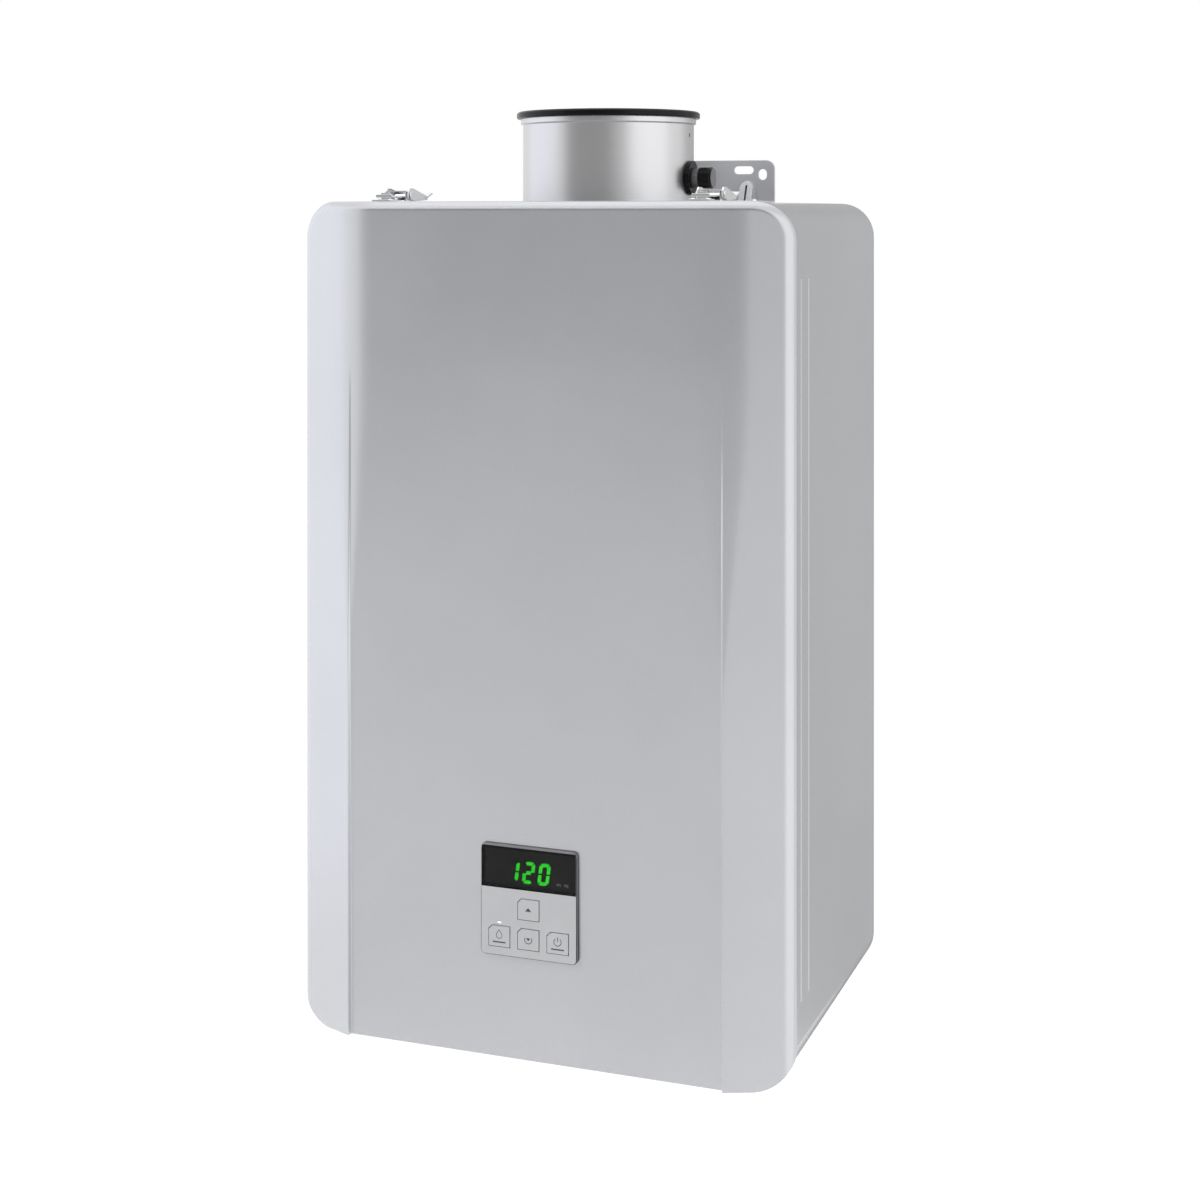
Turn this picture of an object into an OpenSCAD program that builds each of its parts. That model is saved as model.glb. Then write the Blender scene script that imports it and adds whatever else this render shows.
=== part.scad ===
// Wall-hung tankless gas water heater, in millimetres.
// X to the right seen from the front, Y towards the wall, Z up.
// The origin lies on the wall, midway between the two hanging slots of the top bracket.

/* [Front cover] */
// Width of the front cover
cover_w = 356; // [320:1:420]
// Height of the front cover
cover_h = 575; // [550:1:680]
// Corner radius of the cover seen from the front
cover_corner = 26; // [20:1:36]
// Radius of the rounded edge along the cover's top and sides
cover_edge = 6; // [4:0.5:9]
// Thickness of the cover sheet
cover_t = 1.5; // [1:0.1:2.2]
// Width of each sloping side strip
strip_w = 43.3; // [34:0.1:56]
// Backward slope of the side strips in degrees
strip_slope = 22; // [12:0.5:28]
// Straight skirt behind the rounded edge
skirt_len = 1.2; // [0.8:0.1:6]
// Height above the cover's lower edge where the creases begin
crease_h = 466; // [320:1:520]
// Depth of the centre below the strips at the lower edge
recess = 3.7; // [1:0.1:5]
// Radius of the soft bend between centre and strips above the creases
blend_r = 100; // [40:5:120]
// Height over which the soft bend tightens into the crease
blend_fade = 240; // [100:10:400]
// Width of the flange turned in behind the cover
cover_flange = 12; // [9:0.5:16]

/* [Case] */
// Depth of the case from its back to the cover seam
case_depth = 228.5; // [210:0.5:320]
// How far the cover stands proud of the case on each side
case_step = 1; // [0.5:0.1:2.5]
// Thickness of the case sheet
case_t = 1.2; // [0.8:0.1:2]
// Width of the lip turned in at the case front
case_lip = 14; // [12:0.5:20]
// Thickness of the seal between cover and case
seal_t = 1; // [0.6:0.1:3]
// Width of the seal between cover and case
seal_w = 4; // [2:0.5:5]
// Width of the upright beads pressed into the sides
bead_w = 3; // [2:0.5:5]
// How far the beads stand out of the sides
bead_rise = 0.5; // [0.4:0.1:1.4]
// Distance of the first bead behind the seam
bead_back = 12.5; // [10:0.5:40]
// Distance between the two beads
bead_pitch = 19.5; // [12:0.5:60]
// Distance of the bead ends from the case top and bottom
bead_end = 50; // [40:1:120]

/* [Wall brackets] */
// Thickness of the bracket sheet
bracket_t = 2; // [1.5:0.1:3]
// Width of the top bracket
bracket_w = 199; // [180:1:260]
// Height of the top bracket above the case
bracket_rise = 33.6; // [30:0.2:50]
// Height of the slot line above the case
slot_rise = 26; // [22:0.5:27]
// Distance between the two hanging slots
slot_pitch = 150; // [130:1:156]
// Width of a hanging slot
slot_w = 6; // [5:0.2:7]
// Length of a hanging slot
slot_len = 15.6; // [12:0.2:18]
// Width of the lower bracket
lower_w = 150; // [110:1:190]
// Drop of the lower bracket below the case
lower_drop = 26; // [20:1:34]
// Distance between the holes of the lower bracket
lower_pitch = 110; // [80:1:112]
// Diameter of the holes of the lower bracket
lower_hole_d = 6.5; // [5:0.1:8]

/* [Vent] */
// Distance of the vent axis from the wall
vent_back = 100.7; // [96:0.1:112]
// Outer diameter of the vent collar
collar_d = 126; // [112:1:134]
// Wall thickness of the vent collar
collar_t = 1.2; // [0.8:0.1:2]
// Height of the vent collar above the case
collar_h = 62; // [56:0.5:80]
// Outward step of the rolled lip of the collar
collar_lip = 1.6; // [1:0.1:2.4]
// Insertion depth of the air pipe in the collar
collar_socket = 30; // [20:1:32]
// How far the rim seal stands out past the collar
rim_step = 4.5; // [2:0.5:7]
// Thickness of the rim seal on the collar
rim_t = 5; // [3:0.5:8]
// Inner diameter of the flue socket
flue_d = 76.4; // [60:0.1:86]
// Insertion depth of the flue pipe in its socket
flue_socket = 45; // [30:1:50]
// Wall thickness of the flue pipe
flue_t = 1.2; // [0.8:0.1:2]
// Height of the test port above the case
port_rise = 18.4; // [16:0.2:20]
// Diameter of the rubber disc of the test port
port_disc_d = 25; // [20:0.5:28]
// Width of the cap of the test port
port_cap_w = 15.6; // [14:0.2:22]
// Length of the cap of the test port
port_cap_len = 9.6; // [9:0.2:14]

/* [Cover latches] */
// Distance of each latch from the middle
latch_x = 115; // [100:1:122]
// Width of the latch lever
latch_w = 18.6; // [17:0.2:20]
// Thickness of the latch sheet
latch_t = 1.2; // [1:0.1:1.4]
// Distance of the lever pivot behind the seam
pivot_back = 14; // [13:0.5:18]
// Height of the lever pivot above the case
pivot_rise = 5.2; // [5:0.1:6]
// Distance from the lever pivot to the bail pivot
bail_crank = 7.9; // [7.6:0.1:9]
// Distance from the bail pivot to the catch lip
bail_len = 27.8; // [27:0.2:28.6]
// Length of the lever behind its pivot
lever_tail = 28; // [24:0.5:34]
// Length of the thumb tab of the lever
tab_len = 8; // [5:0.5:12]

/* [Control panel] */
// Width of the control panel
panel_w = 68.7; // [68:0.1:84]
// Height of the control panel
panel_h = 74.2; // [72:0.2:84]
// Height of the panel's lower edge above the cover's lower edge
panel_rise = 69.5; // [60:0.1:100]
// How far the panel stands out of the cover
panel_proud = 3; // [2.6:0.1:6]
// Thickness of the panel front
panel_t = 1.8; // [1.6:0.1:2.6]
// Width of the display window
window_w = 66; // [60:0.2:66]
// Height of the display window
window_h = 25.2; // [22:0.2:26]
// Distance of the display window below the panel's upper edge
window_drop = 3; // [2.8:0.1:5]
// Height of the display digits
digit_h = 14.6; // [10:0.2:17]
// Distance of the digits to the right of the panel's middle
digit_right = -0.9; // [-4:0.1:6]
// Distance of the digits below the window's middle
digit_drop = 1.9; // [0:0.1:1.9]
// Height of the bevel along the panel's upper edge
panel_bevel = 2.6; // [1:0.1:2.8]
// Width of a button
button_w = 15; // [12:0.2:16]
// Height of a button
button_h = 13.6; // [11:0.2:14]
// Sideways distance between the buttons
button_pitch_x = 21; // [19:0.5:21.5]
// Upright distance between the buttons
button_pitch_z = 19.8; // [17.5:0.2:20]
// Height of the lower button row above the panel's lower edge
button_rise = 12.9; // [10.5:0.1:15]
// Travel of a button
button_travel = 0.8; // [0.4:0.1:1]

/* [Pipe fittings] */
// Outer diameter of the male pipe threads
thread_d = 26.6; // [20:0.2:28]
// Length of the male pipe threads
thread_len = 20; // [14:1:24]
// Distance of the fittings' lower ends below the case
fitting_drop = 42; // [40:1:60]
// Distance of the gas fitting's lower end below the case
gas_drop = 33; // [32:1:60]
// Distance of the water fittings from the middle
water_x = 125; // [122:1:134]
// Distance of the water fittings from the wall
water_back = 110; // [100:1:120]
// Distance of the gas fitting from the middle
gas_x = 75; // [68:1:78]
// Distance of the gas fitting from the wall
gas_back = 150; // [142:1:150]
// Bore of the fittings
fitting_bore = 18; // [12:1:20]
// Diameter of the drain plug spigot
plug_d = 11.9; // [8:0.1:12.5]
// Diameter of the drain plug knob
knob_d = 21; // [18:0.5:24]
// Outer diameter of the water pipes
pipe_d = 16; // [14:0.5:18]
// Wall of the water pipes
pipe_t = 1; // [0.8:0.1:2]
// Bore of the cord gland
gland_bore = 8; // [6:0.2:10]

/* [Burner stack] */
// Outer width of the burner box and the heat exchanger
stack_w = 194; // [184:1:198]
// Outer depth of the burner box and the heat exchanger
stack_d = 126; // [122:1:128]
// Wall of the burner box and the heat exchanger
stack_t = 1.5; // [1:0.1:2.5]
// Height of the burner box above the case bottom
box_rise = 215; // [213:1:225]
// Height of the burner box
box_h = 115; // [108:1:120]
// Height of the heat exchanger
core_h = 110; // [90:1:114]
// Height of the flue hood
hood_h = 60; // [40:1:60]
// Number of burner bars
bar_count = 10; // [6:1:11]
// Thickness of a burner bar
bar_t = 9; // [6:0.5:10]
// Number of exchanger fins
fin_count = 28; // [16:1:34]
// Thickness of an exchanger fin
fin_t = 0.8; // [0.5:0.1:1.2]
// Distance between the exchanger tubes
tube_pitch = 22; // [20:0.5:22]

/* [Blower] */
// Outer radius of the blower housing
blower_r = 62; // [56:1:66]
// Depth of the blower housing
blower_d = 65; // [55:1:68]
// Height of the blower axis above the case bottom
blower_rise = 135; // [130:1:138]
// Distance of the blower axis from the middle, to the left
blower_x = 25; // [22:1:30]
// Wall of the blower housing
blower_t = 2; // [1.5:0.1:3]
// Outer radius of the blower wheel
wheel_r = 52; // [44:1:54]
// Number of blower blades
blade_count = 24; // [16:1:30]

/* [Hidden] */
$fn = 64;

// Clearances
run_gap = 0.05;
seat_gap = 0.1;
part_gap = 0.3;
button_gap = 0.3;

// Main planes
case_back = -bracket_t;
seam_y = case_back - case_depth;
cover_back = seam_y - seal_t;
edge_y = cover_back - skirt_len;
front_y = edge_y - cover_edge - strip_w * tan(strip_slope);
case_w = cover_w - 2 * case_step;
case_h = cover_h - 2 * case_step;
case_corner = cover_corner - case_step;
case_top = -slot_rise;
case_bot = case_top - case_h;
case_zc = case_top - case_h / 2;
cover_top = case_top + case_step;
cover_bot = cover_top - cover_h;
inner_bot = case_bot + case_t;
panel_y = case_back - case_t;
crease_x = cover_w / 2 - strip_w;
crease_top = cover_bot + crease_h;

// Vent
vent_y = -vent_back;
collar_r = collar_d / 2;
collar_in = collar_r - collar_t;
stop_ledge = 1;
collar_low = collar_in - stop_ledge;
collar_flange = collar_r + 13;
collar_flange_t = 1.5;
collar_top = case_top + collar_h;
rim_d = collar_d + 2 * rim_step;
rim_in = collar_in + 1;
stop_z = collar_top - collar_socket;
foot_d = vent_back - bracket_t - collar_flange - 1;
flue_r = flue_d / 2;
flue_top = stop_z - 4;
flue_neck_r = flue_r - 2.2;
hood_bot = case_bot + box_rise + box_h + core_h;
hood_top = hood_bot + hood_h;
neck_len = 18;
port_z = case_top + port_rise;
port_face = collar_r + 3;
port_neck_r = 7.5;
port_bore_r = 6.2;
port_collar_t = 5;
port_spigot_r = 5.2;

// Latches, measured from the seam backwards and from the case upwards
lever_pivot = [pivot_back, pivot_rise];
bail_pivot = lever_pivot + [bail_crank, -1];
cheek_in = latch_w / 2 - latch_t;
ear_out = cheek_in - part_gap;
ear_in = ear_out - latch_t;
bail_half = ear_in - part_gap - 0.1;
pin_r = 1.6;
bail_pin_r = 1.1;
barrel_r = 2.2;
lip_back = bail_pivot[0] - bail_len;
lip_half = 3.6;
lip_top = bail_pivot[1] + 2.8;
window_len = 5.4;
bar_len = 2.6;
rivet_r = 1.25;
catch_rivet_u = 5.2;
catch_rivet_v = lip_back - 3.6;
base_rivet_v = [pivot_back + 13, pivot_back + 19];

// Control panel
panel_bot = cover_bot + panel_rise;
panel_top = panel_bot + panel_h;
panel_zc = panel_bot + panel_h / 2;
panel_back = front_y + recess_at(panel_top) - 0.05;
panel_front = panel_back - panel_proud;
plate_back = panel_front + panel_t;
panel_margin = 2;
panel_wall = 1.2;
panel_depth = 12;
window_t = 1.2;
window_ledge = 2;
window_zc = panel_top - window_drop - window_h / 2;
digit_w = digit_h * 0.52;
digit_pitch = digit_h * 0.74;
digit_t = 0.4;
segment_w = digit_h * 0.115;
board_y = plate_back + 7.6;
board_t = 1.6;
module_t = 7.4;
lower_row = panel_bot + button_rise;
upper_row = lower_row + button_pitch_z;
button_cut = 2.6;
button_proud = 0.4;
button_wing = 0.9;
button_wing_t = 1;
button_stem_r = 2;
post_r = 2.4;
lens_r = 1.1;
lens_z = lower_row + button_h / 2 + 2.4;

// Pipes and fittings
water_y = -water_back;
gas_y = -gas_back;
thread_r = thread_d / 2;
body_r = thread_r + 1.6;
hole_r = body_r + 0.3;
bore_r = fitting_bore / 2;
fitting_top = case_bot + 30;
boss_z = case_bot - 12.5;
boss_r = plug_d / 2 + 3;
boss_len = body_r + 10;
plug_depth = 10;
sensor_h = 45;
sensor_r = 17;
sensor_bore = 12;
sensor_top = fitting_top + sensor_h;
valve_h = 50;
actuator_w = 30;
actuator_d = 30;
actuator_h = 32;
actuator_rise = 10;
valve_top = sensor_top + valve_h;
pipe_r = pipe_d / 2;
gland_y = -60;
gland_r = gland_bore / 2 + 4;
gland_flange = 4;
gland_x = case_w / 2 - case_corner - gland_r - gland_flange - 1;

// Burner stack
box_bot = case_bot + box_rise;
box_top = box_bot + box_h;
core_bot = box_top;
tube_z = core_bot + core_h * 0.5;
tube_x = stack_w / 2 + 7;
tube_y = [for (i = [-2 : 2]) vent_y + i * tube_pitch];
stack_front = vent_y - stack_d / 2;
stack_back = vent_y + stack_d / 2;
bar_pitch = (stack_w - 20) / bar_count;
bar_z = box_bot + 26;
bar_h = 52;
nozzle_z = box_bot + 36;
manifold_back = stack_front - 2;
manifold_d = 18;
manifold_h = 22;
manifold_zc = nozzle_z;
valve_z0 = case_bot + 45;
valve_z1 = case_bot + 190;
valve_front = manifold_back - manifold_d - 3;
valve_back = gas_y + body_r + 4;
valve_w = 42;
valve_head_w = 32;
valve_head_h = 40;
coil_r = 13;
coil_len = 26;
coil_rise = 28;
coil_pitch = 44;
riser_r = 7;
spark_w = 24;
spark_d = 30;
spark_h = 50;
spark_back = 4;
spark_rise = 30;
spark_lead = 10;
spark_lead_r = 4;
spark_lead_pitch = 20;
blower_z = case_bot + blower_rise;
blower_y0 = vent_y - blower_d / 2 - 6;
blower_y1 = blower_y0 + blower_d;
duct_x0 = -blower_x - blower_r + 2;
duct_w = blower_r - 8;
shaft_r = 4;
motor_r = 34;
motor_len = 36;

// Board in front of the blower
tray_y = stack_front - 46;
tray_w = 140;
tray_h = 150;
tray_t = 1.2;
tray_foot = 26;
tray_x = tray_w / 2 + case_corner + 1 - case_w / 2;
standoff = 6;
standoff_r = 3;
standoff_edge = 12;
board_edge = 4;
board_rise = 20;
choke_w = 30;
choke_d = 14;
relay_w = 14;
relay_h = 18;
relay_d = 11;
relay_pitch = 18;
can_r = 7;
can_d = 13;
can_pitch = 18;
chip_w = 22;
chip_d = 2;
socket_w = 20;
socket_h = 10;
socket_d = 8;
socket_pitch = 26;
low_row = 10;
mid_row = 52;
top_row = 106;

// Colours
paint = [0.80, 0.81, 0.82];
steel = [0.72, 0.73, 0.74];
chrome = [0.86, 0.87, 0.88];
rubber = [0.10, 0.10, 0.11];
black = [0.07, 0.07, 0.08];
copper = [0.78, 0.45, 0.30];
brass = [0.80, 0.66, 0.36];
board_green = [0.10, 0.36, 0.20];
glow = [0.18, 0.80, 0.20];
plastic = [0.76, 0.77, 0.79];

// Flat drawing in X and Z, raised from y0 towards the wall
module along_y(y0, len) {
  translate([0, y0 + len, 0]) rotate([90, 0, 0]) linear_extrude(len) children();
}

// Flat drawing in Y and Z, raised from x0 to the right
module along_x(x0, len) {
  translate([x0, 0, 0]) rotate([90, 0, 90]) linear_extrude(len) children();
}

// Round bar along Y
module y_bar(r, y0, len, x, z) {
  translate([x, y0 + len, z]) rotate([90, 0, 0]) cylinder(r = r, h = len);
}

// Round bar along X
module x_bar(r, x0, len, y, z) {
  translate([x0, y, z]) rotate([0, 90, 0]) cylinder(r = r, h = len);
}

// Box given by its two corners
module block(a, b) {
  translate(a) cube(b - a);
}

module rounded_rect(w, h, r) {
  square([w - 2 * r, h], center = true);
  square([w, h - 2 * r], center = true);
  for (sx = [-1, 1], sz = [-1, 1])
    translate([sx * (w / 2 - r), sz * (h / 2 - r)]) circle(r = r);
}

module slot(len, w) {
  square([len - w, w], center = true);
  for (s = [-1, 1]) translate([s * (len - w) / 2, 0]) circle(d = w);
}

// Outline of the case seen from the front, grown or shrunk
module case_section(grow) {
  translate([0, case_zc])
    rounded_rect(case_w + 2 * grow, case_h + 2 * grow, case_corner + grow);
}

// Routes of pipes: straight runs with rounded corners
function unit(v) = v / norm(v);
function bend(a, b, c, r, n) =
  let (u = unit(a - b), v = unit(c - b), half = acos(u * v) / 2)
  let (centre = b + unit(u + v) * r / sin(half), t = r / tan(half))
  let (e = unit(b + u * t - centre), g = unit(b + v * t - centre), turn = 180 - 2 * half)
  [for (i = [0 : n]) centre + r * (sin((1 - i / n) * turn) * e + sin(i / n * turn) * g) / sin(turn)];
function route(p, r, n) = concat(
  [p[0]],
  [for (i = [1 : len(p) - 2]) each bend(p[i - 1], p[i], p[i + 1], r, n)],
  [p[len(p) - 1]]
);
function heading(p, i) =
  let (a = p[max(i - 1, 0)], b = p[i], c = p[min(i + 1, len(p) - 1)])
  i == 0 ? unit(c - b) : i == len(p) - 1 ? unit(b - a) : unit(unit(b - a) + unit(c - b));
// Directions square to the route, carried along it without twisting
function square_to(u, t) = unit(u - (u * t) * t);
function guides(p, i = 0, u = [0.8, 0.6, 0.1]) =
  i == len(p) ? [] : let (w = square_to(u, heading(p, i))) concat([w], guides(p, i + 1, w));
function ring(c, t, u, r, n) =
  let (v = cross(t, u)) [for (k = [0 : n - 1]) c + r * (cos(360 * k / n) * u + sin(360 * k / n) * v)];

module pipe(points, r, wall, bend_r) {
  n = 16;
  p = route(points, bend_r, 6);
  m = len(p);
  g = guides(p);
  rings = [for (i = [0 : m - 1], q = [r, r - wall]) each ring(p[i], heading(p, i), g[i], q, n)];
  function at(i, k, inner) = i * 2 * n + (inner ? n : 0) + k % n;
  polyhedron(rings, concat(
    [for (i = [0 : m - 2], k = [0 : n - 1])
      [at(i, k, false), at(i, k + 1, false), at(i + 1, k + 1, false), at(i + 1, k, false)]],
    [for (i = [0 : m - 2], k = [0 : n - 1])
      [at(i, k + 1, true), at(i, k, true), at(i + 1, k, true), at(i + 1, k + 1, true)]],
    [for (k = [0 : n - 1]) [at(0, k + 1, false), at(0, k, false), at(0, k, true), at(0, k + 1, true)]],
    [for (k = [0 : n - 1])
      [at(m - 1, k, false), at(m - 1, k + 1, false), at(m - 1, k + 1, true), at(m - 1, k, true)]]
  ));
}

// Front of the cover: flat centre, side strips sloping back, creases that fade out upwards.
// Its top and sides are rounded off, its lower edge is sharp.
function part_of(t) = min(max(t, 0), 1);
function ease(t) = let (c = part_of(t)) c * c * (3 - 2 * c);
function recess_at(z) = recess * part_of((crease_top - z) / crease_h);
function bend_at(z) = 2 + (blend_r - 2) * (1 - ease((crease_top - z) / blend_fade));
function slope_at(a, r) =
  let (t = r * tan(strip_slope / 2), a0 = crease_x - t, a1 = crease_x + t * cos(strip_slope))
  a <= a0 ? 0 : a < a1 ? r - sqrt(r * r - (a - a0) * (a - a0)) : (a - crease_x) * tan(strip_slope);
function front_at(x, z) = slope_at(abs(x), bend_at(z)) + (abs(x) < crease_x ? recess_at(z) : 0);
function inset_at(x, z, d) =
  let (r = cover_corner - d)
  let (qx = abs(x) - (cover_w / 2 - d - r), qz = z - case_zc - (cover_h / 2 - d - r))
  r - norm([max(qx, 0), max(qz, 0)]) - min(max(qx, qz), 0);
function edge_drop(s, r) = s >= r ? 0 : r - sqrt(max(r * r - (r - s) * (r - s), 0));
function lowest(x, d) =
  let (r = cover_corner - d, q = abs(x) - (cover_w / 2 - d - r))
  case_zc - cover_h / 2 + d + (q > 0 ? r - sqrt(max(r * r - q * q, 0)) : 0);

// Columns and rows of the cover's grid for a skin lying d inside the outside
edge_steps = [0, 0.06, 0.24, 0.55, 1];
crease_half = 0.15;
function edge_of(d) = max(cover_edge - d, 1);
function right_columns(d) = concat(
  [0, crease_x - 40],
  [for (i = [5 : -1 : 1]) crease_x - 5 * i],
  [crease_x - 1, crease_x - crease_half, crease_x + crease_half, crease_x + 1],
  [for (i = [1 : 3]) crease_x + (strip_w - cover_edge) * i / 3.6],
  [for (i = [4 : -1 : 0]) cover_w / 2 - d - edge_steps[i] * edge_of(d)]
);
function columns(d) =
  let (c = right_columns(d), n = len(c))
  concat([for (i = [n - 1 : -1 : 1]) -c[i]], c);
function rows(x, d) =
  let (low = lowest(x, d), high = 2 * case_zc - low, e = edge_of(d))
  let (z0 = cover_bot + cover_corner + cover_edge + 4, z1 = 2 * case_zc - z0)
  concat(
    [for (s = edge_steps) low + s * e],
    [for (i = [0 : 7]) z0 + (crease_top - z0) * i / 8],
    [crease_top, (crease_top + z1) / 2, z1],
    [for (i = [4 : -1 : 0]) high - edge_steps[i] * e]
  );
function skin(d) = [
  for (x = columns(d)) [
    for (z = rows(x, d))
      [x, front_y + d + front_at(x, z) + edge_drop(inset_at(x, z, d), edge_of(d)), z]
  ]
];
// Numbers of the points round a grid of m columns and k rows, beginning at the lower left
function rim_of(m, k, from) = concat(
  [for (i = [0 : m - 1]) from + i * k],
  [for (j = [1 : k - 1]) from + (m - 1) * k + j],
  [for (i = [m - 2 : -1 : 0]) from + i * k + k - 1],
  [for (j = [k - 2 : -1 : 1]) from + j]
);
function flat_rim(d, y, m, k) =
  let (all = [for (c = skin(d)) each c])
  [for (i = rim_of(m, k, 0)) [all[i][0], y, all[i][2]]];

// Cover sheet: outer skin, inner skin, and the skirt and turned-in flange that join them
module cover_shell() {
  outer = skin(0);
  inner = skin(cover_t);
  m = len(outer);
  k = len(outer[0]);
  turn_y = cover_back - cover_t * 0.6;
  loops = [
    flat_rim(0, cover_back, m, k), flat_rim(cover_flange, cover_back, m, k),
    flat_rim(cover_flange, turn_y, m, k), flat_rim(cover_t, turn_y, m, k)
  ];
  n = len(loops[0]);
  chain = concat(
    [rim_of(m, k, 0)],
    [for (l = [0 : 3]) [for (i = [0 : n - 1]) 2 * m * k + l * n + i]],
    [rim_of(m, k, m * k)]
  );
  points = concat([for (c = outer) each c], [for (c = inner) each c], [for (l = loops) each l]);
  polyhedron(points, concat(
    [for (i = [0 : m - 2], j = [0 : k - 2])
      [i * k + j, i * k + j + 1, (i + 1) * k + j + 1, (i + 1) * k + j]],
    [for (i = [0 : m - 2], j = [0 : k - 2])
      [m * k + i * k + j, m * k + (i + 1) * k + j, m * k + (i + 1) * k + j + 1, m * k + i * k + j + 1]],
    [for (l = [0 : 4], i = [0 : n - 1])
      let (a = chain[l], b = chain[l + 1], e = (i + 1) % n) [a[i], a[e], b[e], b[i]]]
  ));
}

module front_cover() {
  color(paint) difference() {
    cover_shell();
    along_y(front_y - 5, 20) translate([0, panel_zc])
      square([panel_w - 2 * panel_margin, panel_h - 2 * panel_margin], center = true);
    for (s = [-1, 1], u = [-1, 1])
      translate([s * latch_x + u * catch_rivet_u, seam_y + catch_rivet_v, cover_top - 4])
        cylinder(r = rivet_r + run_gap, h = 8);
  }
}

tab_z = case_bot + 8;
tab_x = 110;
tab_w = 24;

// Two hooks that hold the cover's lower edge behind the case lip
module cover_tabs() {
  color(steel) for (s = [-1, 1]) {
    block([s * tab_x - tab_w / 2, cover_back, tab_z], [s * tab_x + tab_w / 2, seam_y + 8, tab_z + 1.5]);
    block([s * tab_x - tab_w / 2, seam_y + 6.5, tab_z - 3.5], [s * tab_x + tab_w / 2, seam_y + 8, tab_z + 0.5]);
  }
}

module cover_seal() {
  color(rubber) along_y(cover_back, seal_t) difference() {
    case_section(-1);
    case_section(-1 - seal_w);
  }
}

module side_bead(x, y) {
  r = (bead_w * bead_w / 4 + bead_rise * bead_rise) / (2 * bead_rise);
  for (s = [-1, 1])
    translate([s * (x + bead_rise - r), y, case_bot + bead_end]) cylinder(r = r, h = case_h - 2 * bead_end);
}

module case_wrap() {
  color(paint) difference() {
    union() {
      along_y(seam_y, case_depth) case_section(0);
      for (i = [0, 1]) side_bead(case_w / 2, seam_y + bead_back + i * bead_pitch);
    }
    along_y(seam_y + case_t, case_depth) case_section(-case_t);
    along_y(seam_y - 1, 3) case_section(-case_lip);
    for (s = [-1, 1])
      block(
        [s * tab_x - tab_w / 2 - 1, seam_y - 1, tab_z - 4.5],
        [s * tab_x + tab_w / 2 + 1, seam_y + 2, tab_z + 2.5]
      );
    translate([0, vent_y, case_top - 4]) cylinder(r = collar_low, h = 8);
    for (s = [-1, 1])
      translate([s * water_x, water_y, case_bot - 2]) cylinder(r = hole_r, h = 6);
    translate([gas_x, gas_y, case_bot - 2]) cylinder(r = hole_r, h = 6);
    translate([gland_x, gland_y, case_bot - 2]) cylinder(r = gland_r + 0.2, h = 6);
    for (p = top_screws) translate([p[0], p[1], case_top - 3]) cylinder(r = screw_r + seat_gap, h = 6);
    for (s = [-1, 1], v = base_rivet_v)
      translate([s * latch_x, seam_y + v, case_top - 3]) cylinder(r = rivet_r + run_gap, h = 6);
  }
}

module back_panel() {
  color(steel) difference() {
    along_y(panel_y, case_t) case_section(-case_t - seat_gap);
    for (p = back_screws) y_bar(screw_r + seat_gap, panel_y - 1, 4, p[0], p[1]);
  }
}

oval_x = slot_pitch / 2 + 15;
dart_x = slot_pitch / 2 + 3;
dart_w = 10.6;
dart_h = 17.6;
dart_foot = 9;
dart_crown = 1.5;
dart_slit = 1.4;
flange_drop = 44;

module top_bracket() {
  color(paint) difference() {
    union() {
      along_y(case_back, bracket_t) translate([0, case_top + (bracket_rise - flange_drop) / 2])
        rounded_rect(bracket_w, bracket_rise + flange_drop, 7);
      block([-bracket_w / 2, case_back - foot_d, case_top], [bracket_w / 2, case_back, case_top + bracket_t]);
      for (s = [-1, 1]) bracket_dart(s * dart_x);
    }
    along_y(case_back - 1, bracket_t + 2) for (s = [-1, 1]) {
      translate([s * slot_pitch / 2, 0]) slot(slot_len, slot_w);
      translate([s * oval_x, -3.4]) rotate(90) slot(8.4, 6.6);
    }
    for (p = foot_screws) translate([p[0], p[1], case_top - 1]) cylinder(r = screw_r + seat_gap, h = 5);
    for (p = back_screws) y_bar(screw_r + seat_gap, case_back - 1, 2.6, p[0], p[1]);
  }
}

// Stiffening dart pressed across the bend of the top bracket, slit along its middle
module bracket_dart(x) {
  base = case_top + bracket_t;
  crown = case_top + dart_h;
  difference() {
    intersection() {
      along_x(x - dart_w / 2, dart_w) polygon([
        [case_back, base], [case_back - dart_foot, base], [case_back - dart_crown, crown], [case_back, crown]
      ]);
      along_y(case_back - dart_foot - 1, dart_foot + 1) {
        translate([x, crown - dart_w / 2]) circle(d = dart_w);
        translate([x - dart_w / 2, base]) square([dart_w, crown - dart_w / 2 - base]);
      }
    }
    block([x - dart_slit / 2, case_back - dart_foot - 1, base], [x + dart_slit / 2, case_back, crown - 3.4]);
  }
}

module lower_bracket() {
  color(paint) difference() {
    along_y(case_back, bracket_t) translate([0, case_bot + 10])
      rounded_rect(lower_w, 2 * (lower_drop + 10), 6);
    for (s = [-1, 1])
      y_bar(lower_hole_d / 2, case_back - 1, bracket_t + 2, s * lower_pitch / 2, case_bot - lower_drop + 11);
    for (p = back_screws) y_bar(screw_r + seat_gap, case_back - 1, 2.6, p[0], p[1]);
  }
}

screw_r = 1.9;
screw_head_r = 3.6;
screw_head_h = 2.2;
foot_screws = [for (s = [-1, 1], x = [30, bracket_w / 2 - 14]) [s * x, case_back - foot_d / 2 - 2]];
collar_screws = [for (a = [45 : 45 : 135])
  [(collar_r + 7.5) * cos(a), vent_y + (collar_r + 7.5) * sin(a)]];
top_screws = concat(foot_screws, collar_screws);
back_screws = concat(
  [for (s = [-1, 1], x = [28, 78]) [s * x, case_top - 24]],
  [for (s = [-1, 1], x = [18, 58]) [s * x, case_bot + 28]]
);

module screw(len) {
  translate([0, 0, -len]) cylinder(r = screw_r, h = len);
  cylinder(r = screw_head_r, h = screw_head_h);
}

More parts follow.
